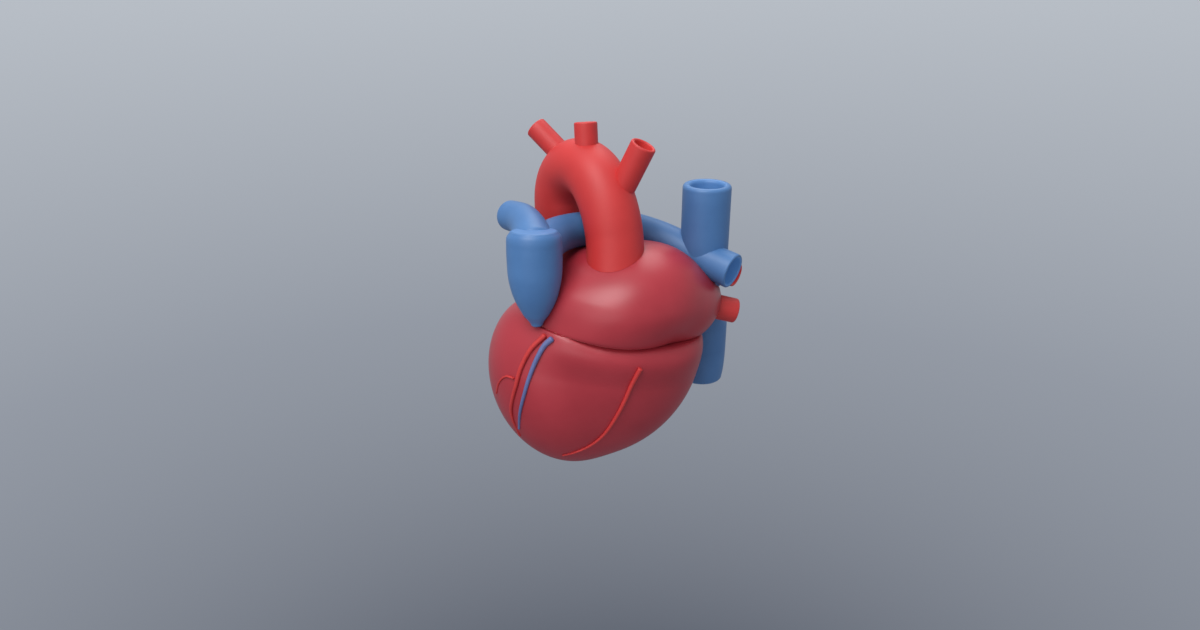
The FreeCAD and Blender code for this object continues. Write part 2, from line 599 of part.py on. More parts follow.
def build_aorta():
    outer = aorta_pipe(AORTA_RADIUS, AORTA_SEAT_Z + SEAM_GAP, AORTA_DROP)
    lumen = aorta_pipe(AORTA_RADIUS - AORTA_WALL, AORTA_SEAT_Z - 2, AORTA_DROP + 2)
    branches = dict(
        brachiocephalic_trunk=(BRACHIOCEPHALIC_ROOT, BRACHIOCEPHALIC_END, BRACHIOCEPHALIC_RADIUS),
        left_common_carotid_artery=(CAROTID_ROOT, CAROTID_END, CAROTID_RADIUS),
        left_subclavian_artery=(SUBCLAVIAN_ROOT, SUBCLAVIAN_END, SUBCLAVIAN_RADIUS),
    )
    arch = outer.cut(lumen)
    for name, (root, end, radius) in branches.items():
        way = bar(root, on_from(root, end, 2), radius - BRANCH_WALL)
        arch = arch.cut(way)
        keep(name, whole(cut(bar(root, end, radius), outer, way)))
    keep("aortic_arch", whole(arch))


def stacked_rings(levels):
    """A solid with straight sides between level rings; each level is (place, z, radius)."""
    rings = [Part.makeCircle(radius, Vector(*place, z)) for place, z, radius in levels]
    return Part.makeLoft([Part.Wire(ring) for ring in rings], True, True)


def superior_form(grow=0.0, rise=0.0):
    """The upper vena cava's outside, grown all round: upright, and leaning into the atrium at its foot."""
    return stacked_rings([
        (SUPERIOR_CAVA_ROOT_PLACE, SUPERIOR_CAVA_ROOT_Z - rise, SUPERIOR_CAVA_ROOT_RADIUS + grow),
        (SUPERIOR_CAVA_PLACE, SUPERIOR_CAVA_FOOT_Z, SUPERIOR_CAVA_RADIUS + grow),
        (SUPERIOR_CAVA_PLACE, SUPERIOR_CAVA_TOP_Z + rise, SUPERIOR_CAVA_RADIUS + grow)])


def inferior_form(grow=0.0, rise=0.0, drop=0.0):
    """The lower vena cava's outside, grown all round: a barrel, leaning in under the atrium at its top."""
    return stacked_rings([
        (INFERIOR_CAVA_PLACE, INFERIOR_CAVA_END_Z - drop, INFERIOR_CAVA_END_RADIUS + grow),
        (INFERIOR_CAVA_PLACE, INFERIOR_CAVA_BELLY_Z, INFERIOR_CAVA_RADIUS + grow),
        (INFERIOR_CAVA_PLACE, INFERIOR_CAVA_SHOULDER_Z, INFERIOR_CAVA_RADIUS + grow),
        (INFERIOR_CAVA_TOP_PLACE, INFERIOR_CAVA_TOP_Z + rise, INFERIOR_CAVA_TOP_RADIUS + grow)])


def build_atria():
    form = atrial_form()
    aorta_hole = Part.makeCylinder(AORTA_RADIUS + SLIDING_FIT, FAR, Vector(*AORTA_PLACE, AORTA_SEAT_Z))
    x, y = AORTA_PLACE
    root = bar(on_plane(AORTA_PLACE, -2), (x, y, AORTA_SEAT_Z + 2), AORTA_RADIUS - AORTA_WALL)
    descending = bar(arch_top(180.0), arch_top(180.0) - Vector(0, 0, AORTA_DROP + AORTA_ROOM),
                     AORTA_RADIUS + AORTA_ROOM)

    trunk = lofted_bar(TRUNK_POINTS, TRUNK_RADII)
    trunk_inside = lofted_bar(TRUNK_POINTS[1:-1], [r - PULMONARY_WALL for r in TRUNK_RADII[1:-1]])
    right = lofted_bar(RIGHT_PULMONARY_POINTS, RIGHT_PULMONARY_RADII)
    right_inside = lofted_bar(RIGHT_PULMONARY_POINTS[:-1] + [on_from(*RIGHT_PULMONARY_POINTS[-2:], 1)],
                              [r - PULMONARY_WALL for r in RIGHT_PULMONARY_RADII])
    left = lofted_bar(LEFT_PULMONARY_POINTS, LEFT_PULMONARY_RADII)
    left_inside = lofted_bar(LEFT_PULMONARY_POINTS[:-1] + [on_from(*LEFT_PULMONARY_POINTS[-2:], 1)],
                             [r - PULMONARY_WALL for r in LEFT_PULMONARY_RADII])
    keep("pulmonary_trunk", whole(cut(trunk, trunk_inside, right_inside, left_inside)))
    keep("right_pulmonary_artery", whole(cut(right, trunk, right_inside)))
    keep("left_pulmonary_artery", whole(cut(left, trunk, right, left_inside)))

    veins = {}
    for name, points in PULMONARY_VEINS.items():
        through = points[:-1] + [on_from(*points[-2:], 1)]
        veins[name] = (lofted_bar(points, [PULMONARY_VEIN_RADIUS] * len(points)),
                       lofted_bar(through, [PULMONARY_VEIN_RADIUS - PULMONARY_VEIN_WALL] * len(points)))
    inferior_room = inferior_form(CAVA_ROOM, CAVA_ROOM)
    keep("superior_vena_cava", whole(cut(superior_form(), superior_form(-SUPERIOR_CAVA_WALL, 1), right, form,
                                         veins["upper_right_pulmonary_vein"][0], inferior_room)))

    port = bar(RIGHT_ATRIUM["centre"], (*INFERIOR_CAVA_TOP_PLACE, INFERIOR_CAVA_TOP_Z - CAVA_PORT_DROP),
               CAVA_PORT_RADIUS)
    inferior_inside = inferior_form(-INFERIOR_CAVA_WALL, -INFERIOR_CAVA_WALL, 1)
    keep("inferior_vena_cava", whole(cut(inferior_form(), inferior_inside, port)))

    atrium = cut(form, ellipsoid(**RIGHT_ATRIUM), ellipsoid(**LEFT_ATRIUM), aorta_hole, root, trunk,
                 inferior_room, port, right, descending)
    for name, (outer, way) in veins.items():
        keep(name, whole(cut(outer, form, way, right, inferior_room)))
        atrium = atrium.cut(way)
    pegs = [bar(on_plane(place, -PEG_REACH), on_plane(place, PEG_ROOT), PEG_RADIUS) for place in PEG_PLACES]
    keep("atrial_locating_pegs", Part.makeCompound(pegs))
    keep("atrial_wall", whole(cut(atrium, *pegs)))
    base = Vector(*TRUNK_POINTS[3])
    up = (Vector(*TRUNK_POINTS[4]) - base).normalize()
    radius = TRUNK_RADII[3] - PULMONARY_WALL - RING_WALL - VALVE_RING_FIT
    keep("pulmonary_valve", outlet_valve(base, up, radius))


def main():
    os.makedirs("parts", exist_ok=True)
    build_ventricles()
    build_aorta()
    build_atria()
    for name, shape in NODES.items():
        print(f"{name}: {len(shape.Solids)} solids, {shape.Volume / 1000:.2f} cm3, valid {shape.isValid()}")
        shape.exportStep(f"parts/{name}.step")


main()
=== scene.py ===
# %% [markdown]
# # A take-apart model of a human heart
# This classroom model shows the two ventricles as one rounded body, the atria as a cap that
# lifts off it, and the great vessels on top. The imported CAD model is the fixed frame: it says
# where each piece sits and what it moves with. The cells below give each piece a smooth skin,
# rounded lips and painted plastic, and keep to its sizes but for a few soft swellings.

# %% Load the fixed frame
import json
import math

import bmesh
import bpy
import numpy as np
from mathutils import Matrix, Vector


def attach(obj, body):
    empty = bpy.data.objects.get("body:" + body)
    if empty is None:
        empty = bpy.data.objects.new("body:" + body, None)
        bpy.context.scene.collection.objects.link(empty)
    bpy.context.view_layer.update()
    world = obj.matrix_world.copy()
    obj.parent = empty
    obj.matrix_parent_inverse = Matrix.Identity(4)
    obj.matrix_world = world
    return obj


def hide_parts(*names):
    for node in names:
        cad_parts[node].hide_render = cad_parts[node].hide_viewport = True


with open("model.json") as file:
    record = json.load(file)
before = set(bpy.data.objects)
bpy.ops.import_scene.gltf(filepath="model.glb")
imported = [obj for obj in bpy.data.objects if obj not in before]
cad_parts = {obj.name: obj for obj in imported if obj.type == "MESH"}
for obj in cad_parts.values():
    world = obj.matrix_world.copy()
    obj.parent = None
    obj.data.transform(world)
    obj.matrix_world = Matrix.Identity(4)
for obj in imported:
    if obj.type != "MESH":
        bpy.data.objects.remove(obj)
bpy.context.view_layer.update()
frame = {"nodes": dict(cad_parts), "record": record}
MM = 0.001

# %% [markdown]
# ## The camera
# The model is seen from straight ahead and a little above, from about half a metre. A wide lens
# this near gives the strong perspective of a product picture. The lens length follows from the
# picture's width of 1200 and a focal length of 865 of the same units.

# %% Camera
SIGHT_TILT = math.radians(23.0)
SIGHT_TARGET = Vector((0.0, -0.015, 0.080))
SIGHT_DISTANCE = 0.484
FOCAL_LENGTH, PICTURE_WIDTH, SENSOR_WIDTH = 865.0, 1200.0, 36.0
camera_data = bpy.data.cameras.new("front_view")
camera_data.sensor_width = SENSOR_WIDTH
camera_data.lens = FOCAL_LENGTH * SENSOR_WIDTH / PICTURE_WIDTH
camera_data.clip_start = 0.01
camera = bpy.data.objects.new("front_view", camera_data)
camera.location = SIGHT_TARGET + SIGHT_DISTANCE * Vector((0, -math.cos(SIGHT_TILT), math.sin(SIGHT_TILT)))
camera.rotation_euler = (math.radians(90) - SIGHT_TILT, 0, 0)
bpy.context.scene.collection.objects.link(camera)
bpy.context.scene.camera = camera
print("lens", round(camera_data.lens, 2), "mm")

# %% [markdown]
# ## Painted plastic
# The real model is moulded plastic with a satin paint. Seen close up, such paint has a faint
# orange peel, slight blotches of tone where the coat is thicker, and a gloss that varies a
# little. It could be one flat colour, but that looks like a toy, so each paint mixes two tones
# with soft noise, and bends the surface a few hundredths of a millimetre with fine noise. The
# noise reads Object coordinates, so that it stays with the piece when the piece is lifted off.

# %% A paint
def linear(red, green, blue):
    """An sRGB colour of 0 to 255 as the linear colour that sockets take."""
    shares = [value / 255 for value in (red, green, blue)]
    return tuple(share / 12.92 if share <= 0.04 else ((share + 0.055) / 1.055) ** 2.4 for share in shares)


def paint(name, colour, deep, gloss, peel=0.02, blotch=45.0, metal=0.0, painted_glow=0.0):
    """A paint of two near tones; gloss is its roughness, peel the height of its orange peel in mm, and
    glow the strength of painted light: an emission in the paint's own colour that brightens it where shade
    falls."""
    material = bpy.data.materials.new(name)
    material.use_nodes = True
    nodes, links = material.node_tree.nodes, material.node_tree.links
    shader = nodes["Principled BSDF"]
    shader.inputs["Metallic"].default_value = metal
    shader.inputs["Emission Strength"].default_value = painted_glow
    place = nodes.new("ShaderNodeTexCoord")
    tone = nodes.new("ShaderNodeTexNoise")
    tone.inputs["Scale"].default_value = blotch
    tone.inputs["Detail"].default_value = 4.0
    mix = nodes.new("ShaderNodeMix")
    mix.data_type = "RGBA"
    mix.inputs[6].default_value = (*linear(*deep), 1)
    mix.inputs[7].default_value = (*linear(*colour), 1)
    sharpen = nodes.new("ShaderNodeMapRange")
    sharpen.inputs["From Min"].default_value = 0.30
    sharpen.inputs["From Max"].default_value = 0.62
    dull = nodes.new("ShaderNodeMapRange")
    dull.inputs["To Min"].default_value = gloss - 0.05
    dull.inputs["To Max"].default_value = gloss + 0.05
    fine = nodes.new("ShaderNodeTexNoise")
    fine.inputs["Scale"].default_value = 900.0
    fine.inputs["Detail"].default_value = 2.0
    bump = nodes.new("ShaderNodeBump")
    bump.inputs["Strength"].default_value = 1.0
    bump.inputs["Distance"].default_value = peel * MM
    links.new(place.outputs["Object"], tone.inputs["Vector"])
    links.new(place.outputs["Object"], fine.inputs["Vector"])
    links.new(tone.outputs["Fac"], sharpen.inputs["Value"])
    links.new(sharpen.outputs["Result"], mix.inputs["Factor"])
    links.new(mix.outputs[2], shader.inputs["Base Color"])
    links.new(mix.outputs[2], shader.inputs["Emission Color"])
    links.new(tone.outputs["Fac"], dull.inputs["Value"])
    links.new(dull.outputs["Result"], shader.inputs["Roughness"])
    links.new(fine.outputs["Fac"], bump.inputs["Height"])
    links.new(bump.outputs["Normal"], shader.inputs["Normal"])
    return material


CRIMSON = paint("crimson_paint", (169, 46, 56), (162, 42, 52), 0.39)
RED = paint("artery_paint", (196, 48, 46), (189, 44, 43), 0.54)
BLUE = paint("vein_paint", (74, 118, 169), (67, 110, 161), 0.47)
CARDIAC_BLUE = paint("cardiac_vein_paint", (100, 110, 158), (92, 102, 150), 0.45)
CUT_FLESH = paint("cut_flesh_paint", (196, 104, 100), (184, 88, 86), 0.50, peel=0.05, blotch=160.0)
LINING = paint("chamber_lining_paint", (150, 46, 50), (128, 34, 40), 0.38, peel=0.06, blotch=120.0)
# The two lining paints glow a little. This is painted light that brightens the insides of the vessels, where
# shade falls.
LUMEN_RED = paint("artery_lining_paint", (190, 48, 46), (180, 44, 42), 0.50, painted_glow=0.22)
LUMEN_BLUE = paint("vein_lining_paint", (76, 118, 168), (68, 110, 160), 0.50, painted_glow=0.30)
MUSCLE = paint("muscle_paint", (172, 70, 66), (150, 54, 54), 0.42, peel=0.06, blotch=260.0)
IVORY = paint("valve_rubber", (226, 208, 172), (214, 192, 154), 0.48, peel=0.03, blotch=200.0)
TENDON = paint("tendon_cord", (232, 222, 198), (218, 204, 176), 0.55)
BRASS = paint("turned_brass", (206, 170, 96), (190, 152, 80), 0.28, metal=1.0)
STEEL = paint("nickel_plate", (200, 202, 206), (188, 190, 196), 0.22, metal=1.0)
print(len(bpy.data.materials), "materials")

# %% [markdown]
# ## From a worked mesh to a finished piece
# Everything is worked in millimetres and scaled to metres at the very end, in the mesh itself,
# so that each finished object sits at the origin, unturned and unscaled. Faces get their paint
# from where they lie: `coats` is a list of paints, and `choose` says which one each face takes.

# %% Helpers for pieces
def to_object(bm, name):
    mesh = bpy.data.meshes.new(name)
    bm.to_mesh(mesh)
    bm.free()
    thing = bpy.data.objects.new(name, mesh)
    bpy.context.scene.collection.objects.link(thing)
    return thing


def combine(body, tools, operation="DIFFERENCE"):
    """Cuts the tools out of the body, or joins or keeps what they share. All are closed bmeshes."""
    work = to_object(body, "work")
    helpers = [to_object(tool, "tool") for tool in tools]
    for helper in helpers:
        step = work.modifiers.new("step", "BOOLEAN")
        step.operation, step.solver, step.object = operation, "MANIFOLD", helper
    depsgraph = bpy.context.evaluated_depsgraph_get()
    mesh = bpy.data.meshes.new_from_object(work.evaluated_get(depsgraph))
    result = bmesh.new()
    result.from_mesh(mesh)
    bpy.data.meshes.remove(mesh)
    for thing in [work] + helpers:
        data = thing.data
        bpy.data.objects.remove(thing)
        bpy.data.meshes.remove(data)
    return result


WELD_DISTANCE, SLIVER_WIDTH = 0.004, 0.002


def finish_piece(bm, name, node, coats, choose=None, crisp=35.0):
    """Makes the finished object for a CAD node, with smooth faces and crisp edges."""
    bmesh.ops.remove_doubles(bm, verts=bm.verts, dist=WELD_DISTANCE)
    bmesh.ops.dissolve_degenerate(bm, dist=SLIVER_WIDTH, edges=bm.edges)
    bmesh.ops.triangulate(bm, faces=[f for f in bm.faces if len(f.verts) > 4])
    bmesh.ops.recalc_face_normals(bm, faces=bm.faces)
    for face in bm.faces:
        face.smooth = True
        face.material_index = choose(face) if choose else 0
    for edge in bm.edges:
        edge.smooth = edge.is_manifold and edge.calc_face_angle(0.0) < math.radians(crisp)
    bmesh.ops.scale(bm, vec=(MM, MM, MM), verts=bm.verts)
    size = bm.calc_volume() * 1e6
    thing = to_object(bm, name)
    for coat in coats:
        thing.data.materials.append(coat)
    body = next(b for b, members in frame["record"]["behaviour"]["bodies"].items() if node in members)
    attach(thing, body)
    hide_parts(node)
    print(f"{name}: {len(thing.data.polygons)} faces, {size:.1f} cm3")
    return thing


def rod(start, end, radius, end_radius=None, segments=64):
    """A closed round bar between two points."""
    start, end = Vector(start), Vector(end)
    bm = bmesh.new()
    bmesh.ops.create_cone(bm, cap_ends=True, segments=segments, radius1=radius,
                          radius2=radius if end_radius is None else end_radius, depth=(end - start).length)
    turn = Vector((0, 0, 1)).rotation_difference(end - start).to_matrix().to_4x4()
    bmesh.ops.transform(bm, matrix=Matrix.Translation((start + end) / 2) @ turn, verts=bm.verts)
    return bm


def ball(centre, half, tilt=0.0, grow=0.0, fineness=6):
    """A closed ellipsoid, tilted about Y."""
    bm = bmesh.new()
    bmesh.ops.create_icosphere(bm, subdivisions=fineness, radius=1.0)
    bmesh.ops.scale(bm, vec=[h + grow for h in half], verts=bm.verts)
    turn = Matrix.Rotation(math.radians(-tilt), 4, "Y")
    bmesh.ops.transform(bm, matrix=Matrix.Translation(centre) @ turn, verts=bm.verts)
    return bm


def block(low, high):
    """A closed box between two corners."""
    bm = bmesh.new()
    bmesh.ops.create_cube(bm, size=1.0)
    bmesh.ops.scale(bm, vec=[b - a for a, b in zip(low, high)], verts=bm.verts)
    bmesh.ops.translate(bm, vec=[(a + b) / 2 for a, b in zip(low, high)], verts=bm.verts)
    return bm


print("helpers ready")

# %% [markdown]
# ## Vessels
# A vessel is a round tube with a wall and a rolled lip at its open end. It could be a curve with
# a bevel and a Solidify modifier, but the lip needs its own rounding and the radius changes on
# the way. So one ring is made and extruded along the vessel's middle line, rolled over the lip
# and taken back down the inside. The same rings without the way back make a solid bar, which is
# used to cut the places where vessels meet.

# %% Rings along a middle line
def middle_line(points, radii, steps):
    """Points and radii on a smooth curve through the given ones (Catmull-Rom with spaced knots)."""
    points = [Vector(p) for p in points]
    padded = [points[0] * 2 - points[1]] + points + [points[-1] * 2 - points[-2]]
    sizes = [radii[0]] + list(radii) + [radii[-1]]
    places = []
    for i in range(1, len(padded) - 2):
        p0, p1, p2, p3 = padded[i - 1:i + 3]
        r0, r1, r2, r3 = sizes[i - 1:i + 3]
        k1 = (p1 - p0).length ** 0.5
        k2 = k1 + (p2 - p1).length ** 0.5
        k3 = k2 + (p3 - p2).length ** 0.5
        for s in range(steps if i < len(padded) - 3 else steps + 1):
            t = k1 + (k2 - k1) * s / steps

            def blend(a, b, c, d):
                e = a * ((k1 - t) / k1) + b * (t / k1)
                f = b * ((k2 - t) / (k2 - k1)) + c * ((t - k1) / (k2 - k1))
                g = c * ((k3 - t) / (k3 - k2)) + d * ((t - k2) / (k3 - k2))
                h = e * ((k2 - t) / k2) + f * (t / k2)
                j = f * ((k3 - t) / (k3 - k1)) + g * ((t - k1) / (k3 - k1))
                return h * ((k2 - t) / (k2 - k1)) + j * ((t - k1) / (k2 - k1))
            places.append((blend(p0, p1, p2, p3), blend(r0, r1, r2, r3)))
    return places


def with_directions(places):
    """Adds to each place the direction of the line there."""
    line = [p for p, _ in places]
    ways = [(line[min(i + 1, len(line) - 1)] - line[max(i - 1, 0)]).normalized() for i in range(len(line))]
    return [(p, way, r) for (p, r), way in zip(places, ways)]


def extrude_rings(stations, segments, closed=False):
    """A closed body of rings; closed joins the last ring to the first instead of capping both."""
    bm = bmesh.new()
    ring = bmesh.ops.create_circle(bm, cap_ends=False, segments=segments, radius=1.0)["verts"]
    turn = Vector((0, 0, 1)).rotation_difference(stations[0][1])
    way = stations[0][1]

    def ring_matrix(place, radius):
        return Matrix.Translation(place) @ turn.to_matrix().to_4x4() @ Matrix.Scale(radius, 4)

    now = ring_matrix(stations[0][0], stations[0][2])
    bmesh.ops.transform(bm, matrix=now, verts=ring)
    first = edges = list(bm.edges)
    for place, direction, radius in stations[1:]:
        turn = way.rotation_difference(direction) @ turn
        way = direction
        made = bmesh.ops.extrude_edge_only(bm, edges=edges)["geom"]
        fresh = [g for g in made if isinstance(g, bmesh.types.BMVert)]
        after = ring_matrix(place, radius)
        bmesh.ops.transform(bm, matrix=after @ now.inverted(), verts=fresh)
        new = set(fresh)
        edges = [g for g in made if isinstance(g, bmesh.types.BMEdge) and all(v in new for v in g.verts)]
        now = after
    if closed:
        bmesh.ops.bridge_loops(bm, edges=list(first) + list(edges))
    else:
        bmesh.ops.contextual_create(bm, geom=list(first))
        bmesh.ops.contextual_create(bm, geom=list(edges))
    bmesh.ops.recalc_face_normals(bm, faces=bm.faces)
    return bm


def lip(end, inside_wall, rounds=6):
    """Stations that roll a tube's end over from its outside to its inside."""
    place, way, radius = end
    k = inside_wall / 2
    middle = radius - k
    return [(place - way * (k - k * math.sin(a)), way, middle + k * math.cos(a))
            for a in (math.pi * i / (2 * rounds) for i in range(1, 2 * rounds))]


def vessel(stations, wall, segments=56, round_end=True):
    """A tube with a wall: up the outside, over the lip and back down the inside."""
    stations = list(stations)
    place, way, radius = stations[-1]
    outside = stations[:-1] + [(place - way * wall / 2 if round_end else place, way, radius)]
    over = lip((place, way, radius), wall) if round_end else []
    inside = [(p, w, r - wall) for p, w, r in reversed(outside)]
    return extrude_rings(outside + over + inside, segments, closed=True)


def bar_along(stations, grow=0.0, segments=56, beyond=0.0, before=0.0):
    """The vessel's solid shape, grown, and lengthened at its end and start."""
    stations = [(p, w, r + grow) for p, w, r in stations]
    p, w, r = stations[-1]
    if beyond:
        stations.append((p + w * beyond, w, r))
    p, w, r = stations[0]
    if before:
        stations.insert(0, (p - w * before, w, r))
    return extrude_rings(stations, segments)


def straight(start, end, radius, steps=6):
    start, end = Vector(start), Vector(end)
    way = (end - start).normalized()
    return [(start.lerp(end, i / steps), way, radius) for i in range(steps + 1)]


def level_rings(levels, steps=6):
    """Level rings through (place, height, radius), with straight sides between them."""
    rings = [(Vector((*place, z)), radius) for place, z, radius in levels]
    up = Vector((0, 0, 1))
    stations = [(a.lerp(b, i / steps), up, r + (s - r) * i / steps)
                for (a, r), (b, s) in zip(rings, rings[1:]) for i in range(steps)]
    return stations + [(rings[-1][0], up, rings[-1][1])]


print("vessel helpers ready")

# %% [markdown]
# ## The lobes
# The heart's body is two rounded lobes melted into one: the wide right ventricle in front, and
# the left one beside it. The cap of the atria is four. Sculpting would do it, but the skin has
# to follow the CAD model's. So an icosphere is put in the middle, and each of its points is
# moved outwards until it meets the melted surface. The crease between the atria and ventricles
# comes from rounding both rims before they meet at the flat valve plane. In front the ventricles
# stand out a little under the crease, and the atria draw back over it, so that light falls on
# the shoulder there.

# %% Sizes of the lobes (millimetres): centre, half sizes and tilt; each body has its blend length
RIGHT_VENTRICLE_LOBE = ((-1.0, -18.0, 57.5), (64.3, 43.5, 55.4), 57.0)
LEFT_VENTRICLE_LOBE = ((-21.5, -22.0, 45.0), (39.3, 39.5, 51.0), 20.0)
ATRIAL_DOME = ((8.5, -22.0, 86.0), (48.5, 43.5, 33.0), 28.0)
RIGHT_ATRIAL_LOBE = ((45.0, -11.0, 82.5), (19.5, 25.5, 13.5), 30.0)
VENOUS_LOBE = ((49.5, 5.0, 83.0), (14.5, 16.0, 12.0), 15.0)
LEFT_ATRIAL_LOBE = ((-14.0, -14.0, 90.5), (26.0, 34.0, 22.5), 0.0)
VENTRICLES = (2.0, [RIGHT_VENTRICLE_LOBE, LEFT_VENTRICLE_LOBE])
ATRIA = (8.0, [ATRIAL_DOME, RIGHT_ATRIAL_LOBE, VENOUS_LOBE, LEFT_ATRIAL_LOBE])
VENTRICLE_MIDDLE = (-8.0, -19.0, 45.0)
ATRIAL_MIDDLE = (10.0, -19.0, 93.0)
PLANE_Z = 82.0
PLANE_TILT = math.radians(9.5)
PLANE_UP = Vector((math.sin(PLANE_TILT), 0, math.cos(PLANE_TILT)))
PLANE_ACROSS = Vector((math.cos(PLANE_TILT), 0, -math.sin(PLANE_TILT)))
SEAM_GAP = 0.2
SHOULDER_ROUND, HEM_ROUND, EDGE_SOFTNESS, FLAT_ALLOWANCE = 7.5, 3.5, 0.5, 1.0
SHOULDER_LEDGE, HEM_TUCK = 3.4, 2.6
FRONT_BEARING, FADE_BEARING = -75.0, 222.0
print(len(VENTRICLES[1]) + len(ATRIA[1]), "lobes")


# %% The melted surface
def lobe_distance(lobe, points):
    centre, half, tilt = lobe
    tilt = math.radians(tilt)
    v = points - np.array(centre)
    local = np.stack([v[:, 0] * math.cos(tilt) + v[:, 2] * math.sin(tilt), v[:, 1],
                      v[:, 2] * math.cos(tilt) - v[:, 0] * math.sin(tilt)], 1)
    half = np.array(half)
    near = np.sqrt(((local / half) ** 2).sum(1))
    slope = np.sqrt(((local / half ** 2) ** 2).sum(1))
    return near * (near - 1.0) / np.maximum(slope, 1e-9)


def lobes_distance(lobes, points):
    """How far points lie outside the melted lobes; negative inside."""
    blend, parts = lobes
    each = np.stack([lobe_distance(lobe, points) for lobe in parts])
    low = each.min(0)
    return low - blend * np.log(np.exp((low - each) / blend).sum(0))


def height(points):
    """Height above the valve plane, square to it."""
    return points @ np.array(PLANE_UP) - PLANE_Z * math.cos(PLANE_TILT)


def smooth_step(value):
    value = np.clip(value, 0.0, 1.0)
    return value * value * (3.0 - 2.0 * value)


def bearing(points):
    """Where points lie round the heart's middle, in degrees: 0 at the right, -90 at the front."""
    return np.degrees(np.arctan2(points[:, 1] - VENTRICLE_MIDDLE[1], points[:, 0]))


def crease_depth(points):
    """1 where the crease is deep, near 0 at the front left where it fades out."""
    angle = bearing(points)
    off = np.abs((angle - FADE_BEARING + 180.0) % 360.0 - 180.0)
    shallow = 1.0 - 0.6 * smooth_step(1.0 - np.abs(angle) / 45.0)
    return 0.15 + 0.85 * smooth_step((off - 8.0) / 40.0) * shallow


def soft_larger(a, b, soft):
    high = np.maximum(a, b)
    return high + soft * np.log(np.exp((a - high) / soft) + np.exp((b - high) / soft))


def in_front(points):
    """1 across the front of the heart, 0 at its sides and back."""
    return smooth_step((85.0 - np.abs(bearing(points) - FRONT_BEARING)) / 50.0)


def skin_of_ventricles(points):
    """The ventricles, whose front stands out as a soft ledge just under the crease."""
    ledge = SHOULDER_LEDGE * in_front(points) * smooth_step((height(points) + 24.0) / 19.0)
    return lobes_distance(VENTRICLES, points) - ledge


def skin_of_atria(points):
    """The atria, whose front draws back a little just over the crease."""
    tuck = HEM_TUCK * in_front(points) * smooth_step((22.0 - height(points)) / 20.0)
    return lobes_distance(ATRIA, points) + tuck


def rounded(skin, side, flat, edge_round):
    """The distance function of a skin on one side of a height, with a rounded rim."""
    def distance(points):
        body = skin(points)
        beyond = side * (flat - height(points))
        return soft_larger(body, beyond, edge_round * EDGE_SOFTNESS * crease_depth(points))
    return distance


def push_out(start, ways, distance, reach=150.0):
    """Where the rays from start leave the surface."""
    start, ways = np.array(start, float), np.array(ways, float)
    inside, outside = np.zeros(len(ways)), np.full(len(ways), reach)
    for _ in range(34):
        middle = (inside + outside) / 2
        within = distance(start + ways * middle[:, None]) < 0
        inside, outside = np.where(within, middle, inside), np.where(within, outside, middle)
    return start + ways * inside[:, None]


def grown_form(middle, distance, fineness=7):
    """An icosphere whose points are pushed out onto the surface."""
    bm = bmesh.new()
    bmesh.ops.create_icosphere(bm, subdivisions=fineness, radius=1.0)
    ways = np.array([v.co.normalized() for v in bm.verts])
    for vert, place in zip(bm.verts, push_out(middle, ways, distance)):
        vert.co = place
    return bm


def above(level=0.0):
    """A big block that holds everything above a height over the valve plane."""
    bm = block((-300, -300, 0), (300, 300, 300))
    bmesh.ops.transform(bm, matrix=Matrix.Translation(PLANE_UP * (PLANE_Z * math.cos(PLANE_TILT) + level))
                        @ Matrix.Rotation(PLANE_TILT, 4, "Y"), verts=bm.verts)
    return bm


def on_plane(place, level=0.0):
    x, y = place
    return Vector((x, y, PLANE_Z - x * math.tan(PLANE_TILT))) + PLANE_UP * level


ventricle_distance = rounded(skin_of_ventricles, -1, FLAT_ALLOWANCE, SHOULDER_ROUND)
atrial_distance = rounded(skin_of_atria, 1, SEAM_GAP - FLAT_ALLOWANCE, HEM_ROUND)


def atrial_form(grow=0.0):
    form = grown_form(ATRIAL_MIDDLE, lambda points: atrial_distance(points) - grow)
    return combine(form, [above(SEAM_GAP)], "INTERSECT")


print("crease is", round(float(crease_depth(np.array([[0.0, -60.0, 80.0]]))[0]), 2), "deep in front")

# %% [markdown]
# ## The chambers
# Behind the front wall the model is hollow, as the real heart is. The left chamber is a long
# egg with a thick wall, and the right one a crescent wrapped round it, with a thin wall. Each
# could be carved by hand, but here the left is an ellipsoid, and the right is the outer form
# drawn in by its wall and trimmed at the septum. Low ridges on both stand for the trabeculae,
# the little beams of muscle that line a real ventricle.

# %% Chamber forms
LEFT_CHAMBER = ((-29.0, -5.0, 45.0), (18.0, 20.0, 34.0), 8.0)
LEFT_WALL = 9.0
PLATE_THICKNESS, PLATE_INSET, PLATE_CLEARANCE = 5.0, 10.5, 0.3
WINDOW_Y = -18.0
AORTA_PLACE = (8.0, -26.0)
OUTFLOW_START, OUTFLOW_RADIUS, OUTFLOW_WALL = (-24.0, -14.0, 58.0), 8.0, 3.0
SEPTUM_PLACE, SEPTUM_TURN = (-14.0, -18.0, 0.0), math.radians(57.0)
RIDGE_HEIGHT_LEFT, RIDGE_HEIGHT_RIGHT = 0.9, 0.6
# The right chamber's wall, as pairs of depth under the valve plane and thickness
RIGHT_INSETS = ((5, 14.5), (11, 10.5), (18, 7.5), (28, 6.5), (40, 6.5), (52, 6.5), (66, 8.5))
RIGHT_DEPTH = 66.0


def beams(points, deep):
    """Low ridges that run down a chamber's wall."""
    x, y, z = points.T
    broad = np.sin(x * 0.55 + y * 0.4 + 2.2 * np.sin(z * 0.11))
    narrow = np.sin(y * 0.9 - x * 0.35 + 1.7 * np.sin(z * 0.17))
    return deep * np.clip(broad + 0.6 * narrow, -1, 1) * 0.5


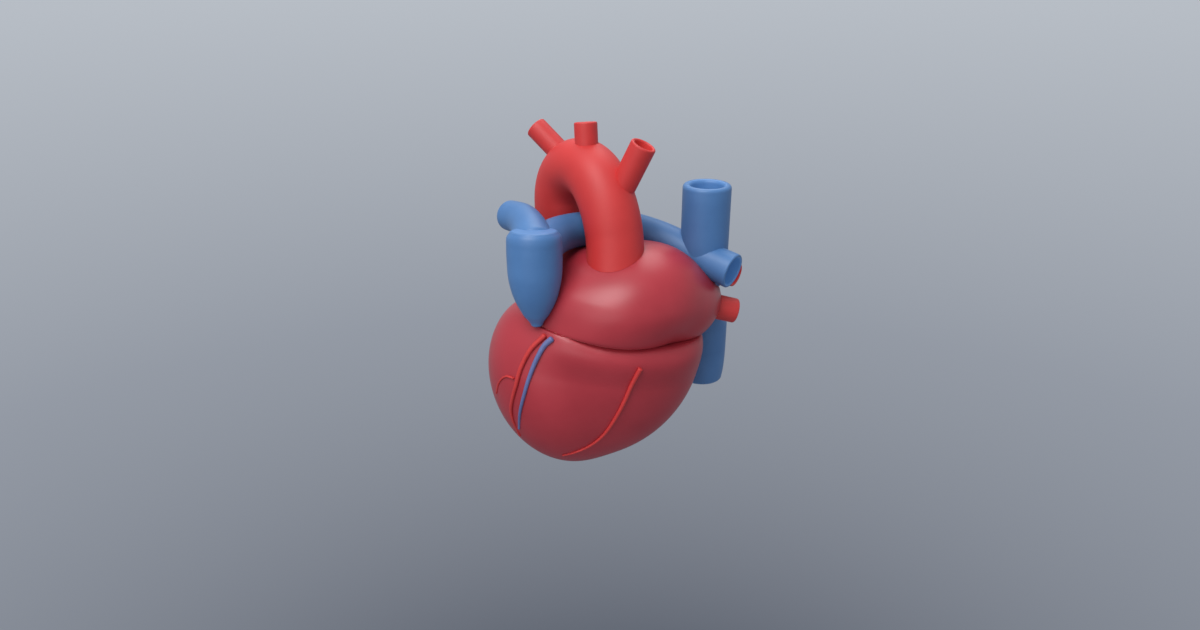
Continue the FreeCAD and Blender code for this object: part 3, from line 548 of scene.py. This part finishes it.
def left_chamber_form(grow=0.0, ridges=0.0):
    bm = ball(*LEFT_CHAMBER, grow=grow, fineness=6)
    if ridges:
        points = np.array([v.co for v in bm.verts])
        move = beams(points, ridges) * np.clip((66.0 - points[:, 2]) / 10.0, 0, 1)
        centre = Vector(LEFT_CHAMBER[0])
        for vert, step in zip(bm.verts, move):
            vert.co += (vert.co - centre).normalized() * float(step)
    return bm


def right_chamber_form():
    depths, insets = zip(*RIGHT_INSETS)

    def distance(points):
        deep = -height(points)
        ridges = beams(points, RIDGE_HEIGHT_RIGHT) * np.clip((deep - 14) / 10, 0, 1)
        body = lobes_distance(VENTRICLES, points) + (np.interp(deep, depths, insets) + ridges)
        ends = soft_larger(PLATE_THICKNESS - deep, deep - RIGHT_DEPTH, 1.0)
        return soft_larger(body, ends, 1.0)
    bm = grown_form((4.0, -20.0, 50.0), distance, 6)
    beyond_septum = block((-300, 0, -300), (300, 300, 300))
    bmesh.ops.transform(beyond_septum, matrix=Matrix.Translation(SEPTUM_PLACE)
                        @ Matrix.Rotation(SEPTUM_TURN, 4, "Z"), verts=beyond_septum.verts)
    return combine(bm, [beyond_septum, ball(*LEFT_CHAMBER, grow=LEFT_WALL, fineness=6),
                        outflow_form(OUTFLOW_WALL), boss_form()])


def outflow_form(grow=0.0):
    x, y = AORTA_PLACE
    return rod(OUTFLOW_START, on_plane((x - 2.0, y), 1.0 if grow == 0 else -PLATE_THICKNESS),
               OUTFLOW_RADIUS + grow)


ROD_RADIUS, BUSH_WALL, BOSS_WALL, SOCKET_DEPTH, BOSS_ROOF = 5.0, 2.0, 4.5, 30.0, 5.0
OUTLINE_DEPTH = 8.0


def boss_form():
    return rod((0, 0, 0), (0, 0, SOCKET_DEPTH + BOSS_ROOF), ROD_RADIUS + BUSH_WALL + BOSS_WALL)


def plate_form(clearance, low, top):
    """The valve plate's outline, taken a little under the valve plane and extruded between two heights."""
    bm = bmesh.new()
    ring = bmesh.ops.create_circle(bm, cap_ends=True, segments=120, radius=1.0)["verts"]
    centre = on_plane((0.0, WINDOW_Y), -OUTLINE_DEPTH)
    ways = [PLANE_ACROSS * v.co.x + Vector((0, v.co.y, 0)) for v in ring]
    edge = push_out(centre, ways, lambda p: lobes_distance(VENTRICLES, p) + PLATE_INSET - clearance)
    for vert, place in zip(ring, edge):
        vert.co = Vector(place) + PLANE_UP * (low + OUTLINE_DEPTH)
    made = bmesh.ops.extrude_face_region(bm, geom=list(bm.faces))["geom"]
    raised = [g for g in made if isinstance(g, bmesh.types.BMVert)]
    bmesh.ops.translate(bm, vec=PLANE_UP * (top - low), verts=raised)
    bmesh.ops.recalc_face_normals(bm, faces=bm.faces)
    return bm


print("the right chamber reaches", RIGHT_DEPTH, "mm under the valve plane")

# %% [markdown]
# ## The ventricles
# One form is hollowed, given pads for the magnets and the boss for the stand rod, and then
# split by the upright window plane into a back wall and a front wall that lifts off. The faces
# are painted by where they lie: crimson outside, paler flesh on the cut rims, darker inside.

# %% Ventricle walls
INLET_RADIUS = 12.2
MITRAL, TRICUSPID = ((-22.5, -14.5), INLET_RADIUS, 9.0), ((30.0, -12.0), INLET_RADIUS, 5.0)
LEAFLET_DROP = 13.0
PAD_RADIUS, PAD_REACH = 5.5, 6.0
MAGNET_RADIUS, MAGNET_LENGTH, PIN_RADIUS, PIN_REACH = 3.0, 2.6, 2.0, 6.0
MAGNET_PLACES = [(-56.0, 46.0), (-22.0, 3.5), (46.0, 60.0)]
PIN_PLACES = [(-57.0, 58.0), (-9.0, 38.0)]
SKIN_DEPTH = 0.4
ventricles = grown_form(VENTRICLE_MIDDLE, ventricle_distance)
pads = [combine(rod((x, WINDOW_Y - PAD_REACH, z), (x, WINDOW_Y + PAD_REACH, z), PAD_RADIUS),
                [grown_form(VENTRICLE_MIDDLE, ventricle_distance, 6)], "INTERSECT") for x, z in MAGNET_PLACES]
ventricles = combine(ventricles, [above(), left_chamber_form(ridges=RIDGE_HEIGHT_LEFT), right_chamber_form()])
ventricles = combine(ventricles, pads, "UNION")
inlets = [rod(on_plane(place, -PLATE_THICKNESS - LEAFLET_DROP - deep), on_plane(place, 1), radius)
          for place, radius, deep in (MITRAL, TRICUSPID)]
plate_seat = plate_form(PLATE_CLEARANCE, -PLATE_THICKNESS, 1.0)
ventricles = combine(ventricles, [plate_seat, outflow_form()] + inlets)
ventricles = combine(ventricles, [combine(boss_form(), [left_chamber_form()])], "UNION")
ventricles = combine(ventricles, [rod((0, 0, -40), (0, 0, SOCKET_DEPTH), ROD_RADIUS + BUSH_WALL)])


def wall_face(face):
    """0 outside, 1 on a cut rim, 2 inside a chamber."""
    middle = face.calc_center_median()
    point = np.array([middle])
    level = float(height(point)[0])
    if abs(middle.y - WINDOW_Y) < 0.15 and abs(face.normal.y) > 0.99:
        return 1
    if float(lobes_distance(VENTRICLES, point)[0]) > -1.2 and level < -0.6:
        return 0
    if abs(face.normal.dot(PLANE_UP)) > 0.995 and level > -PLATE_THICKNESS - 0.5:
        return 1 if level < -1.0 else 0
    return 0 if float(ventricle_distance(point)[0]) > -SKIN_DEPTH else 2


def window_holes(places, low, high, radius, segments):
    """Bars square to the window's plane, from low to high as measured from it."""
    return [rod((x, WINDOW_Y + low, z), (x, WINDOW_Y + high, z), radius, segments=segments)
            for x, z in places]


half_gap = SEAM_GAP / 2
front = combine(ventricles.copy(), [block((-300, WINDOW_Y - half_gap, -300), (300, 300, 300))]
                + window_holes(PIN_PLACES, -PIN_REACH - 1, 1, PIN_RADIUS + 0.05, 32)
                + window_holes(MAGNET_PLACES, -MAGNET_LENGTH, 1, MAGNET_RADIUS, 40))
back = combine(ventricles, [block((-300, -300, -300), (300, WINDOW_Y + half_gap, 300))]
               + window_holes(PIN_PLACES, -1, PIN_REACH, PIN_RADIUS, 32)
               + window_holes(MAGNET_PLACES, -1, MAGNET_LENGTH, MAGNET_RADIUS, 40))
finish_piece(front, "front_wall_skin", "front_ventricle_wall", [CRIMSON, CUT_FLESH, LINING], wall_face)
finish_piece(back, "back_wall_skin", "back_ventricle_wall", [CRIMSON, CUT_FLESH, LINING], wall_face)

# %% [markdown]
# ## The aorta
# The aorta rises from the middle of the heart, leans over in a wide arch and drops behind. It is
# one tube of constant radius. A torus could be cut and joined to straight tubes, but rings
# extruded along one line of two straight runs and two arcs leave no seams. Its root swells
# forwards a little where it meets the dome, as the sinuses over the valve do.

# %% The aortic arch and its branches
AORTA_RADIUS, AORTA_WALL, SEAT_Z, AORTA_DROP = 15.3, 2.6, 88.0, 22.0
ARCH_TURN, SPRING_Z, RISE_RADIUS, RISE_ANGLE, TOP_RADIUS = math.radians(34.0), 121.0, 46.0, 45.0, 23.5
ARCH_BACK = Vector((-math.sin(ARCH_TURN), math.cos(ARCH_TURN), 0))
FOOT = Vector((*AORTA_PLACE, 0))
ROOT_LEAN, ROOT_FOOT_Z, ROOT_TOP_Z = 6.4, 104.0, 134.0


def arch_point(radius, centre_u, centre_z, angle):
    a = math.radians(angle)
    back = ARCH_BACK * (centre_u - radius * math.cos(a))
    return FOOT + back + Vector((0, 0, centre_z + radius * math.sin(a)))


def aorta_line(start_z, drop):
    """The middle line as (place, direction, radius)."""
    rise = SPRING_Z - start_z
    line = [(Vector((*AORTA_PLACE, start_z + rise * i / 6)), Vector((0, 0, 1))) for i in range(6)]
    gap = RISE_RADIUS - TOP_RADIUS
    a0 = math.radians(RISE_ANGLE)
    top_u, top_z = RISE_RADIUS - gap * math.cos(a0), SPRING_Z + gap * math.sin(a0)
    for angle in np.linspace(0, RISE_ANGLE, 13)[:-1]:
        a = math.radians(angle)
        line.append((arch_point(RISE_RADIUS, RISE_RADIUS, SPRING_Z, angle),
                     ARCH_BACK * math.sin(a) + Vector((0, 0, math.cos(a)))))
    for angle in np.linspace(RISE_ANGLE, 180, 41):
        a = math.radians(angle)
        line.append((arch_point(TOP_RADIUS, top_u, top_z, angle),
                     ARCH_BACK * math.sin(a) + Vector((0, 0, math.cos(a)))))
    last = line[-1][0]
    line += [(last - Vector((0, 0, drop * i / 5)), Vector((0, 0, -1))) for i in range(1, 6)]
    return [(p, w.normalized(), AORTA_RADIUS) for p, w in line]


ARCH = aorta_line(SEAT_Z + SEAM_GAP, AORTA_DROP)
BRANCH_WALL = 1.8
BRANCHES = dict(
    brachiocephalic_trunk=((8.4, -20.2, 147.5), (22.2, -25.2, 177.7), 6.8),
    left_common_carotid_artery=((-6.6, -6.5, 162.0), (-7.6, -3.0, 185.0), 6.2),
    left_subclavian_artery=((-15.2, 14.0, 158.0), (-36.1, 26.0, 177.1), 6.2),
)


def root_lean(z):
    """How far the root stands forward at a height."""
    return ROOT_LEAN * (1.0 - float(smooth_step((z - ROOT_FOOT_Z) / (ROOT_TOP_Z - ROOT_FOOT_Z))))


LINING_START = 0.62


def lining(stations, wall):
    """Chooses the lining paint for faces that lie deeper than a share of the wall under the outside."""
    line = np.array([p for p, _, _ in stations])
    sizes = np.array([r for _, _, r in stations])

    def choose(face):
        away = np.linalg.norm(line - np.array(face.calc_center_median()), axis=1)
        near = int(away.argmin())
        return 1 if away[near] < sizes[near] - wall * LINING_START else 0
    return choose


arch = combine(vessel(ARCH, AORTA_WALL, 72), [rod(root, end, radius - BRANCH_WALL, segments=40)
                                             for root, end, radius in BRANCHES.values()])
rising = [station for station in ARCH[:len(ARCH) // 2] if station[0].z < ROOT_TOP_Z]
root = extrude_rings([(p - Vector((0, root_lean(p.z), 0)), w, r - 0.1) for p, w, r in rising], 72)
root = combine(root, [atrial_form(0.1), bar_along(ARCH, 0.1 - AORTA_WALL, 72, before=10)])
arch = combine(arch, [root], "UNION")
finish_piece(arch, "aorta_skin", "aortic_arch", [RED, LUMEN_RED], lining(ARCH, AORTA_WALL))
for name, (root, end, radius) in BRANCHES.items():
    line = straight(root, end, radius)
    branch = combine(vessel(line, BRANCH_WALL, 48), [bar_along(ARCH, -0.15, 72)])
    finish_piece(branch, name + "_skin", name, [RED, LUMEN_RED], lining(line, BRANCH_WALL))

# %% [markdown]
# ## The pulmonary vessels
# The trunk is a fat blue bud that narrows to a point on the front of the heart and ends in a
# soft shoulder at its top. The right artery leaves it, passes under the arch and behind the
# upper vena cava, and opens at the right; the left one curls back over the left side. Both
# start as closed domes that sink into the trunk's crown, so no raw edge shows there.

# %% Pulmonary trunk and arteries
PULMONARY_WALL = 1.8
TRUNK_POINTS = [(-32.7, -49.0, 89.5), (-32.9, -48.5, 95.0), (-33.0, -47.5, 103.0), (-33.2, -46.0, 113.0),
                (-33.2, -45.0, 123.0), (-33.2, -44.5, 131.0), (-33.2, -44.3, 135.5), (-33.2, -44.0, 137.8)]
TRUNK_RADII = [3.2, 7.0, 11.0, 13.6, 14.2, 14.2, 13.8, 12.2]
RIGHT_POINTS = [(-33.0, -42.0, 128.0), (-21.0, -17.0, 128.0), (-7.0, -3.8, 127.0), (12.0, 5.0, 125.0),
                (32.0, 7.0, 118.9), (53.0, -2.5, 111.6), (72.7, -16.6, 106.5)]
RIGHT_RADII = [11.0, 9.8, 9.4, 9.4, 9.4, 9.6, 9.8]
LEFT_POINTS = [(-33.0, -42.0, 130.0), (-36.5, -28.0, 133.5), (-41.5, -14.0, 135.0), (-49.5, -2.0, 134.0)]
LEFT_RADII = [11.0, 9.8, 8.8, 8.3]
RIGHT_HIDDEN, LEFT_HIDDEN, TRUNK_ENDS, TRUNK_LAP = 3, 5, 8, 0.3
TRUNK = with_directions(middle_line(TRUNK_POINTS, TRUNK_RADII, 8))
RIGHT_ARTERY = with_directions(middle_line(RIGHT_POINTS, RIGHT_RADII, 10))
LEFT_ARTERY = with_directions(middle_line(LEFT_POINTS, LEFT_RADII, 10))


def domed(stations):
    """Rounds the start of a bar."""
    place, way, radius = stations[0]
    return [(place - way * radius * 0.5 * math.cos(a), way, radius * math.sin(a))
            for a in np.linspace(0.15, 1.4, 5)] + stations


def crowned(stations, rise):
    """Rounds the start, and closes the end with a low crown."""
    place, way, radius = stations[-1]
    return domed(stations) + [(place + way * rise * math.sin(a), way, radius * math.cos(a))
                              for a in np.linspace(0.2, 1.5, 7)]


def branch_off(stations, wall, hidden):
    """A tube with a rolled lip whose start is a closed dome; hidden stations of it stay solid."""
    place, way, radius = stations[-1]
    rolled = domed(stations[:-1] + [(place - way * wall / 2, way, radius)]) + lip(stations[-1], wall)
    return combine(extrude_rings(rolled, 56), [bar_along(stations[hidden:], -wall, beyond=wall)])


trunk_outside = crowned([(p, w, r - TRUNK_LAP) for p, w, r in TRUNK], 1.0)
trunk = combine(extrude_rings(crowned(TRUNK, 1.2), 64),
                [bar_along(TRUNK[TRUNK_ENDS:-TRUNK_ENDS], -PULMONARY_WALL, 64),
                 bar_along(RIGHT_ARTERY[RIGHT_HIDDEN:], -PULMONARY_WALL),
                 bar_along(LEFT_ARTERY[LEFT_HIDDEN:], -PULMONARY_WALL)])
finish_piece(trunk, "pulmonary_trunk_skin", "pulmonary_trunk", [BLUE, LUMEN_BLUE],
             lining(TRUNK, PULMONARY_WALL))
right = combine(branch_off(RIGHT_ARTERY, PULMONARY_WALL, RIGHT_HIDDEN), [extrude_rings(trunk_outside, 64)])
finish_piece(right, "right_pulmonary_skin", "right_pulmonary_artery", [BLUE, LUMEN_BLUE],
             lining(RIGHT_ARTERY, PULMONARY_WALL))
left = combine(branch_off(LEFT_ARTERY, PULMONARY_WALL, LEFT_HIDDEN),
               [extrude_rings(trunk_outside, 64), bar_along(RIGHT_ARTERY)])
finish_piece(left, "left_pulmonary_skin", "left_pulmonary_artery", [BLUE, LUMEN_BLUE],
             lining(LEFT_ARTERY, PULMONARY_WALL))

# %% [markdown]
# ## The venae cavae
# The upper one is a wide upright tube with a thick rolled lip. The lower one is a barrel that
# hangs behind the right side and leans in under the atrium, where it sits in a socket, so it can
# be pulled down. Both are rings stacked level, because their ends lean while their rings do not.

# %% Venae cavae
UPPER_WALL, LOWER_WALL = 4.2, 3.8
UPPER_LEVELS = [((50.0, -4.0), 82.0, 7.5), ((58.2, -1.0), 98.0, 13.3), ((58.2, -1.0), 151.3, 13.3)]
LOWER_PLACE, LOWER_TOP = (61.5, 13.0), (57.6, 9.1)
LOWER_TOP_Z, LOWER_SHOULDER_Z, LOWER_END_Z = 90.0, 64.0, 27.6
LOWER_RADIUS, LOWER_TOP_RADIUS = 14.0, 8.0
LOWER_LEVELS = [(LOWER_PLACE, LOWER_END_Z, 12.8), (LOWER_PLACE, 38.0, LOWER_RADIUS),
                (LOWER_PLACE, LOWER_SHOULDER_Z, LOWER_RADIUS), (LOWER_TOP, LOWER_TOP_Z, LOWER_TOP_RADIUS)]
SOFT_TOP = [(LOWER_TOP_Z, 7.1), (89.7, 7.7), (89.0, 8.15)]
BELLY = [(58.0, LOWER_RADIUS), (48.0, LOWER_RADIUS), (43.0, 13.9), (38.5, 13.7), (33.5, 13.3), (29.5, 12.7)]
CAVA_ROOM = 0.3
VEIN_POINTS = dict(
    upper_right_pulmonary_vein=[(36.0, 5.0, 91.0), (50.0, 14.0, 97.5), (64.5, 12.0, 99.6), (78.1, 3.5, 96.8)],
    lower_right_pulmonary_vein=[(52.0, -9.0, 86.0), (77.0, -6.9, 79.2)],
    upper_left_pulmonary_vein=[(-24.0, -6.0, 98.0), (-47.0, 13.0, 101.0)],
    lower_left_pulmonary_vein=[(-22.0, -2.0, 95.0), (-28.0, 34.0, 97.5)],
)
VEIN_RADIUS, VEIN_WALL = 7.0, 1.6
VEINS = {name: with_directions(middle_line(points, [VEIN_RADIUS] * len(points), 10)) if len(points) > 2
         else straight(*points, VEIN_RADIUS) for name, points in VEIN_POINTS.items()}


def lower_cava_form(grow=0.0):
    """The room that the lower vena cava takes, grown all round."""
    rings = level_rings([(place, z, radius + grow) for place, z, radius in LOWER_LEVELS])
    place, way, radius = rings[-1]
    return extrude_rings(rings + [(place + way * grow, way, radius)], 72)


UPPER = level_rings(UPPER_LEVELS)
upper = combine(vessel(UPPER, UPPER_WALL, 72),
                [bar_along(RIGHT_ARTERY, -0.2), bar_along(VEINS["upper_right_pulmonary_vein"], -0.2),
                 atrial_form(), lower_cava_form(CAVA_ROOM)])
finish_piece(upper, "upper_cava_skin", "superior_vena_cava", [BLUE, LUMEN_BLUE], lining(UPPER, UPPER_WALL))


def lower_cava():
    """Outside down from the closed, softened top, over the rolled lip, and back up the inside."""
    down = Vector((0, 0, -1))
    outside = [(Vector((*LOWER_TOP, z)), down, radius) for z, radius in SOFT_TOP]
    place, _, narrow = outside[-1]
    shoulder = Vector((*LOWER_PLACE, LOWER_SHOULDER_Z))
    outside += [(place.lerp(shoulder, i / 6), down, narrow + (LOWER_RADIUS - narrow) * i / 6)
                for i in range(1, 7)]
    outside += [(Vector((*LOWER_PLACE, z)), down, radius) for z, radius in BELLY]
    over = lip((Vector((*LOWER_PLACE, LOWER_END_Z)), down, outside[-1][2]), LOWER_WALL)
    inside = [(p, w, r - LOWER_WALL) for p, w, r in reversed(outside[len(SOFT_TOP):])]
    return extrude_rings(outside + over + inside, 72)


RIGHT_ATRIUM = ((43.0, -8.0, 86.0), (16.0, 18.0, 14.0), 20.0)
LEFT_ATRIUM = ((-17.5, -8.5, 92.0), (14.5, 13.5, 13.5), 0.0)
PORT = (RIGHT_ATRIUM[0], (*LOWER_TOP, LOWER_TOP_Z - 8.0), 5.0)
finish_piece(combine(lower_cava(), [rod(*PORT)]), "lower_cava_skin", "inferior_vena_cava", [BLUE, LUMEN_BLUE],
             lining(level_rings(LOWER_LEVELS), LOWER_WALL))

# %% [markdown]
# ## The atria
# The cap over the valve plane is the smooth dome of both atria. It is hollowed by two chambers,
# and holds the round seat of the aorta and the sockets of the veins.

# %% Atrial wall and pulmonary veins
PEG_PLACES, PEG_RADIUS = ((2.0, 4.0), (2.0, -46.0)), 2.5
x, y = AORTA_PLACE
stump = ARCH[-1][0]
atrium_tools = [ball(*RIGHT_ATRIUM), ball(*LEFT_ATRIUM),
                rod((x, y, SEAT_Z), (x, y, 300), AORTA_RADIUS + 0.08, segments=72),
                rod(on_plane(AORTA_PLACE, -2), (x, y, SEAT_Z + 2), AORTA_RADIUS - AORTA_WALL),
                lower_cava_form(CAVA_ROOM), rod(*PORT), bar_along(RIGHT_ARTERY, -0.1),
                bar_along(TRUNK, -0.1, 64),
                rod(stump + Vector((0, 0, AORTA_DROP)), stump - Vector((0, 0, 0.5)), AORTA_RADIUS + 0.5)]
atrium_tools += [bar_along(line, -VEIN_WALL, 48, beyond=1.0) for line in VEINS.values()]
atrium_tools += [rod(on_plane(place, -4), on_plane(place, 8), PEG_RADIUS, segments=32)
                 for place in PEG_PLACES]
atrium = combine(atrial_form(), atrium_tools)


def atrial_face(face):
    """0 outside, 1 on the flat underside, 2 inside."""
    point = np.array([face.calc_center_median()])
    if float(height(point)[0]) <= SEAM_GAP * 2:
        return 1
    return 0 if float(atrial_distance(point)[0]) > -SKIN_DEPTH else 2


finish_piece(atrium, "atrial_skin", "atrial_wall", [CRIMSON, CUT_FLESH, LINING], atrial_face)
for name, line in VEINS.items():
    vein = combine(vessel(line, VEIN_WALL, 48), [atrial_form(), lower_cava_form(CAVA_ROOM)]
                   + ([bar_along(RIGHT_ARTERY, -0.1)] if name == "upper_right_pulmonary_vein" else []))
    finish_piece(vein, name + "_skin", name, [RED, LUMEN_RED], lining(line, VEIN_WALL))

# %% [markdown]
# ## The coronary vessels
# Thin arteries and a vein lie partly sunk in the front wall. They taper to a fine end, so each
# is a solid run of shrinking rings laid on the skin, found by sending a ray forward at each
# point.

# %% Coronary vessels
CORONARIES = dict(
    anterior_interventricular_artery=([(-28.6, 84.8), (-36.0, 77.0), (-41.4, 66.7), (-44.4, 56.5),
                                       (-47.0, 46.7), (-48.0, 39.5), (-47.4, 32.2), (-44.4, 20.3)],
                                      1.45, 0.6),
    diagonal_artery=([(-45.6, 60.0), (-49.5, 59.6), (-52.3, 57.2), (-54.8, 52.6), (-56.6, 45.0)], 0.7, 0.45),
    great_cardiac_vein=([(-24.9, 84.0), (-28.6, 80.4), (-32.8, 72.9), (-36.6, 63.6), (-40.1, 52.1),
                         (-42.8, 40.6), (-44.2, 27.7)], 1.6, 0.65),
    right_marginal_artery=([(20.7, 69.5), (16.7, 60.4), (12.6, 49.3), (7.5, 37.7), (1.6, 27.0),
                            (-5.4, 19.8), (-13.7, 14.7), (-20.4, 11.2)], 1.3, 0.5),
)


STAND_OUT = 0.65


def on_front(x, z, radius):
    """A vessel's middle on the front wall's skin, standing out by a share of the vessel's radius."""
    skin = push_out((x, WINDOW_Y, z), [(0, -1, 0)], skin_of_ventricles)[0]
    return (skin[0], skin[1] - radius * STAND_OUT, skin[2])


for name, (points, radius, end_radius) in CORONARIES.items():
    radii = [radius + (end_radius - radius) * i / (len(points) - 1) for i in range(len(points))]
    line = with_directions(middle_line([on_front(x, z, r) for (x, z), r in zip(points, radii)], radii, 8))
    finish_piece(extrude_rings(crowned(line, end_radius), 24), name + "_skin", name,
                 [CARDIAC_BLUE if name == "great_cardiac_vein" else RED])

# %% [markdown]
# ## Valves, muscles and fittings
# These keep the CAD model's shapes, which are right, and only get their paint or metal.

# %% Finishes of the carried-over nodes
FINISHES = dict(
    valve_plate=CUT_FLESH,
    mitral_valve=IVORY, tricuspid_valve=IVORY, aortic_valve=IVORY, pulmonary_valve=IVORY,
    left_papillary_muscles=MUSCLE, right_papillary_muscles=MUSCLE,
    left_chordae_tendineae=TENDON, right_chordae_tendineae=TENDON,
    stand_socket_bush=BRASS, atrial_locating_pegs=BRASS,
    back_wall_magnets=STEEL, front_wall_magnets=STEEL, wall_locating_pins=STEEL,
)
for name, finish in FINISHES.items():
    node = frame["nodes"][name]
    node.data.materials.clear()
    node.data.materials.append(finish)
print(len(FINISHES), "nodes painted")

# %% [markdown]
# ## Floor and light
# The heart is shown off its stand, so the floor lies far below it and takes only a faint, wide
# shadow. A studio floor darkens near the subject and pales towards the horizon. Lighting it that
# way would flood the heart with light as well, so the floor carries the change in its own
# colour, which follows the distance from the heart, and shows it most to rays that come from the
# camera or off a mirror. A big soft lamp in front and above gives the broad shine on the dome
# and the arch, two weaker ones lift the front and the back, and an even, pale surround, which
# also meets the far edge of the floor without a line, softens the shadows.

# %% Floor
FLOOR_Z, FLOOR_REACH = -0.6, 24.0
VIEW_REACH, VIEW_RISE = 0.46, 0.87  # from the camera to the heart in plan, and down to the floor
FLOOR_TONES = ((0.05, (190, 196, 204)), (0.42, (147, 153, 164)), (0.93, (79, 85, 98)))
SEEN_SHARE = 0.85
bm = bmesh.new()
bmesh.ops.create_grid(bm, x_segments=1, y_segments=1, size=FLOOR_REACH)
bmesh.ops.translate(bm, vec=(0, 0, FLOOR_Z), verts=bm.verts)
floor = to_object(bm, "studio_floor")
grey = bpy.data.materials.new("studio_grey")
grey.use_nodes = True
nodes, links = grey.node_tree.nodes, grey.node_tree.links


def chain(kind, operation, *values):
    """A math node with its inputs joined or set in turn."""
    node = nodes.new(kind)
    node.operation = operation
    for socket, value in zip(node.inputs, values):
        if isinstance(value, bpy.types.NodeSocket):
            links.new(value, socket)
        else:
            socket.default_value = value
    return node


place = nodes.new("ShaderNodeTexCoord")
away = chain("ShaderNodeVectorMath", "LENGTH", place.outputs["Object"])
squared = chain("ShaderNodeMath", "POWER", away.outputs["Value"], 2.0)
level = chain("ShaderNodeMath", "SUBTRACT", squared.outputs[0], FLOOR_Z ** 2)
reach = chain("ShaderNodeMath", "SQRT", chain("ShaderNodeMath", "MAXIMUM", level.outputs[0], 0.0).outputs[0])
stretch = chain("ShaderNodeMath", "ADD", reach.outputs[0], VIEW_REACH)
steepness = chain("ShaderNodeMath", "DIVIDE", VIEW_RISE, stretch.outputs[0])
ramp = nodes.new("ShaderNodeValToRGB")
stops = ramp.color_ramp.elements
stops.new(FLOOR_TONES[1][0])
for stop, (at, colour) in zip(stops, FLOOR_TONES):
    stop.position = at
    stop.color = (*linear(*colour), 1)
links.new(steepness.outputs[0], ramp.inputs["Fac"])
painted_glow = nodes.new("ShaderNodeEmission")
links.new(ramp.outputs["Color"], painted_glow.inputs["Color"])
rays = nodes.new("ShaderNodeLightPath")
seen = chain("ShaderNodeMath", "MAXIMUM", rays.outputs["Is Camera Ray"], rays.outputs["Is Glossy Ray"])
seen = chain("ShaderNodeMath", "MAXIMUM", seen.outputs[0], rays.outputs["Is Transmission Ray"])
share = chain("ShaderNodeMath", "MULTIPLY", seen.outputs[0], SEEN_SHARE)
shader = nodes["Principled BSDF"]
shader.inputs["Roughness"].default_value = 0.9
shader.inputs["Base Color"].default_value = (*linear(186, 189, 194), 1)
mixed = nodes.new("ShaderNodeMixShader")
links.new(share.outputs[0], mixed.inputs["Fac"])
links.new(shader.outputs["BSDF"], mixed.inputs[1])
links.new(painted_glow.outputs["Emission"], mixed.inputs[2])
links.new(mixed.outputs["Shader"], nodes["Material Output"].inputs["Surface"])
floor.data.materials.append(grey)
print("floor", -FLOOR_Z, "m below the stand socket")

# %% Lamps and surroundings
LAMP_AIM = Vector((0.0, -0.02, 0.09))
SURROUND, SURROUND_STRENGTH = (0.624, 0.67, 0.736, 1), 0.75


def lamp(name, place, size, power):
    data = bpy.data.lights.new(name, "AREA")
    data.shape, data.size, data.energy = "DISK", size, power
    thing = bpy.data.objects.new(name, data)
    thing.location = place
    thing.rotation_euler = (LAMP_AIM - Vector(place)).to_track_quat("-Z", "Y").to_euler()
    bpy.context.scene.collection.objects.link(thing)


lamp("key_lamp", (-0.36, -0.52, 1.12), 0.70, 10.0)
lamp("fill_lamp", (-0.50, -1.00, 0.45), 0.9, 2.8)
lamp("back_lamp", (0.05, 0.6, 1.1), 0.9, 6.0)
world = bpy.data.worlds.new("studio")
world.use_nodes = True
surround = world.node_tree.nodes["Background"]
surround.inputs["Color"].default_value = SURROUND
surround.inputs["Strength"].default_value = SURROUND_STRENGTH
bpy.context.scene.world = world
bpy.context.scene.view_settings.view_transform = "Standard"
print(len(bpy.data.lights), "lamps")
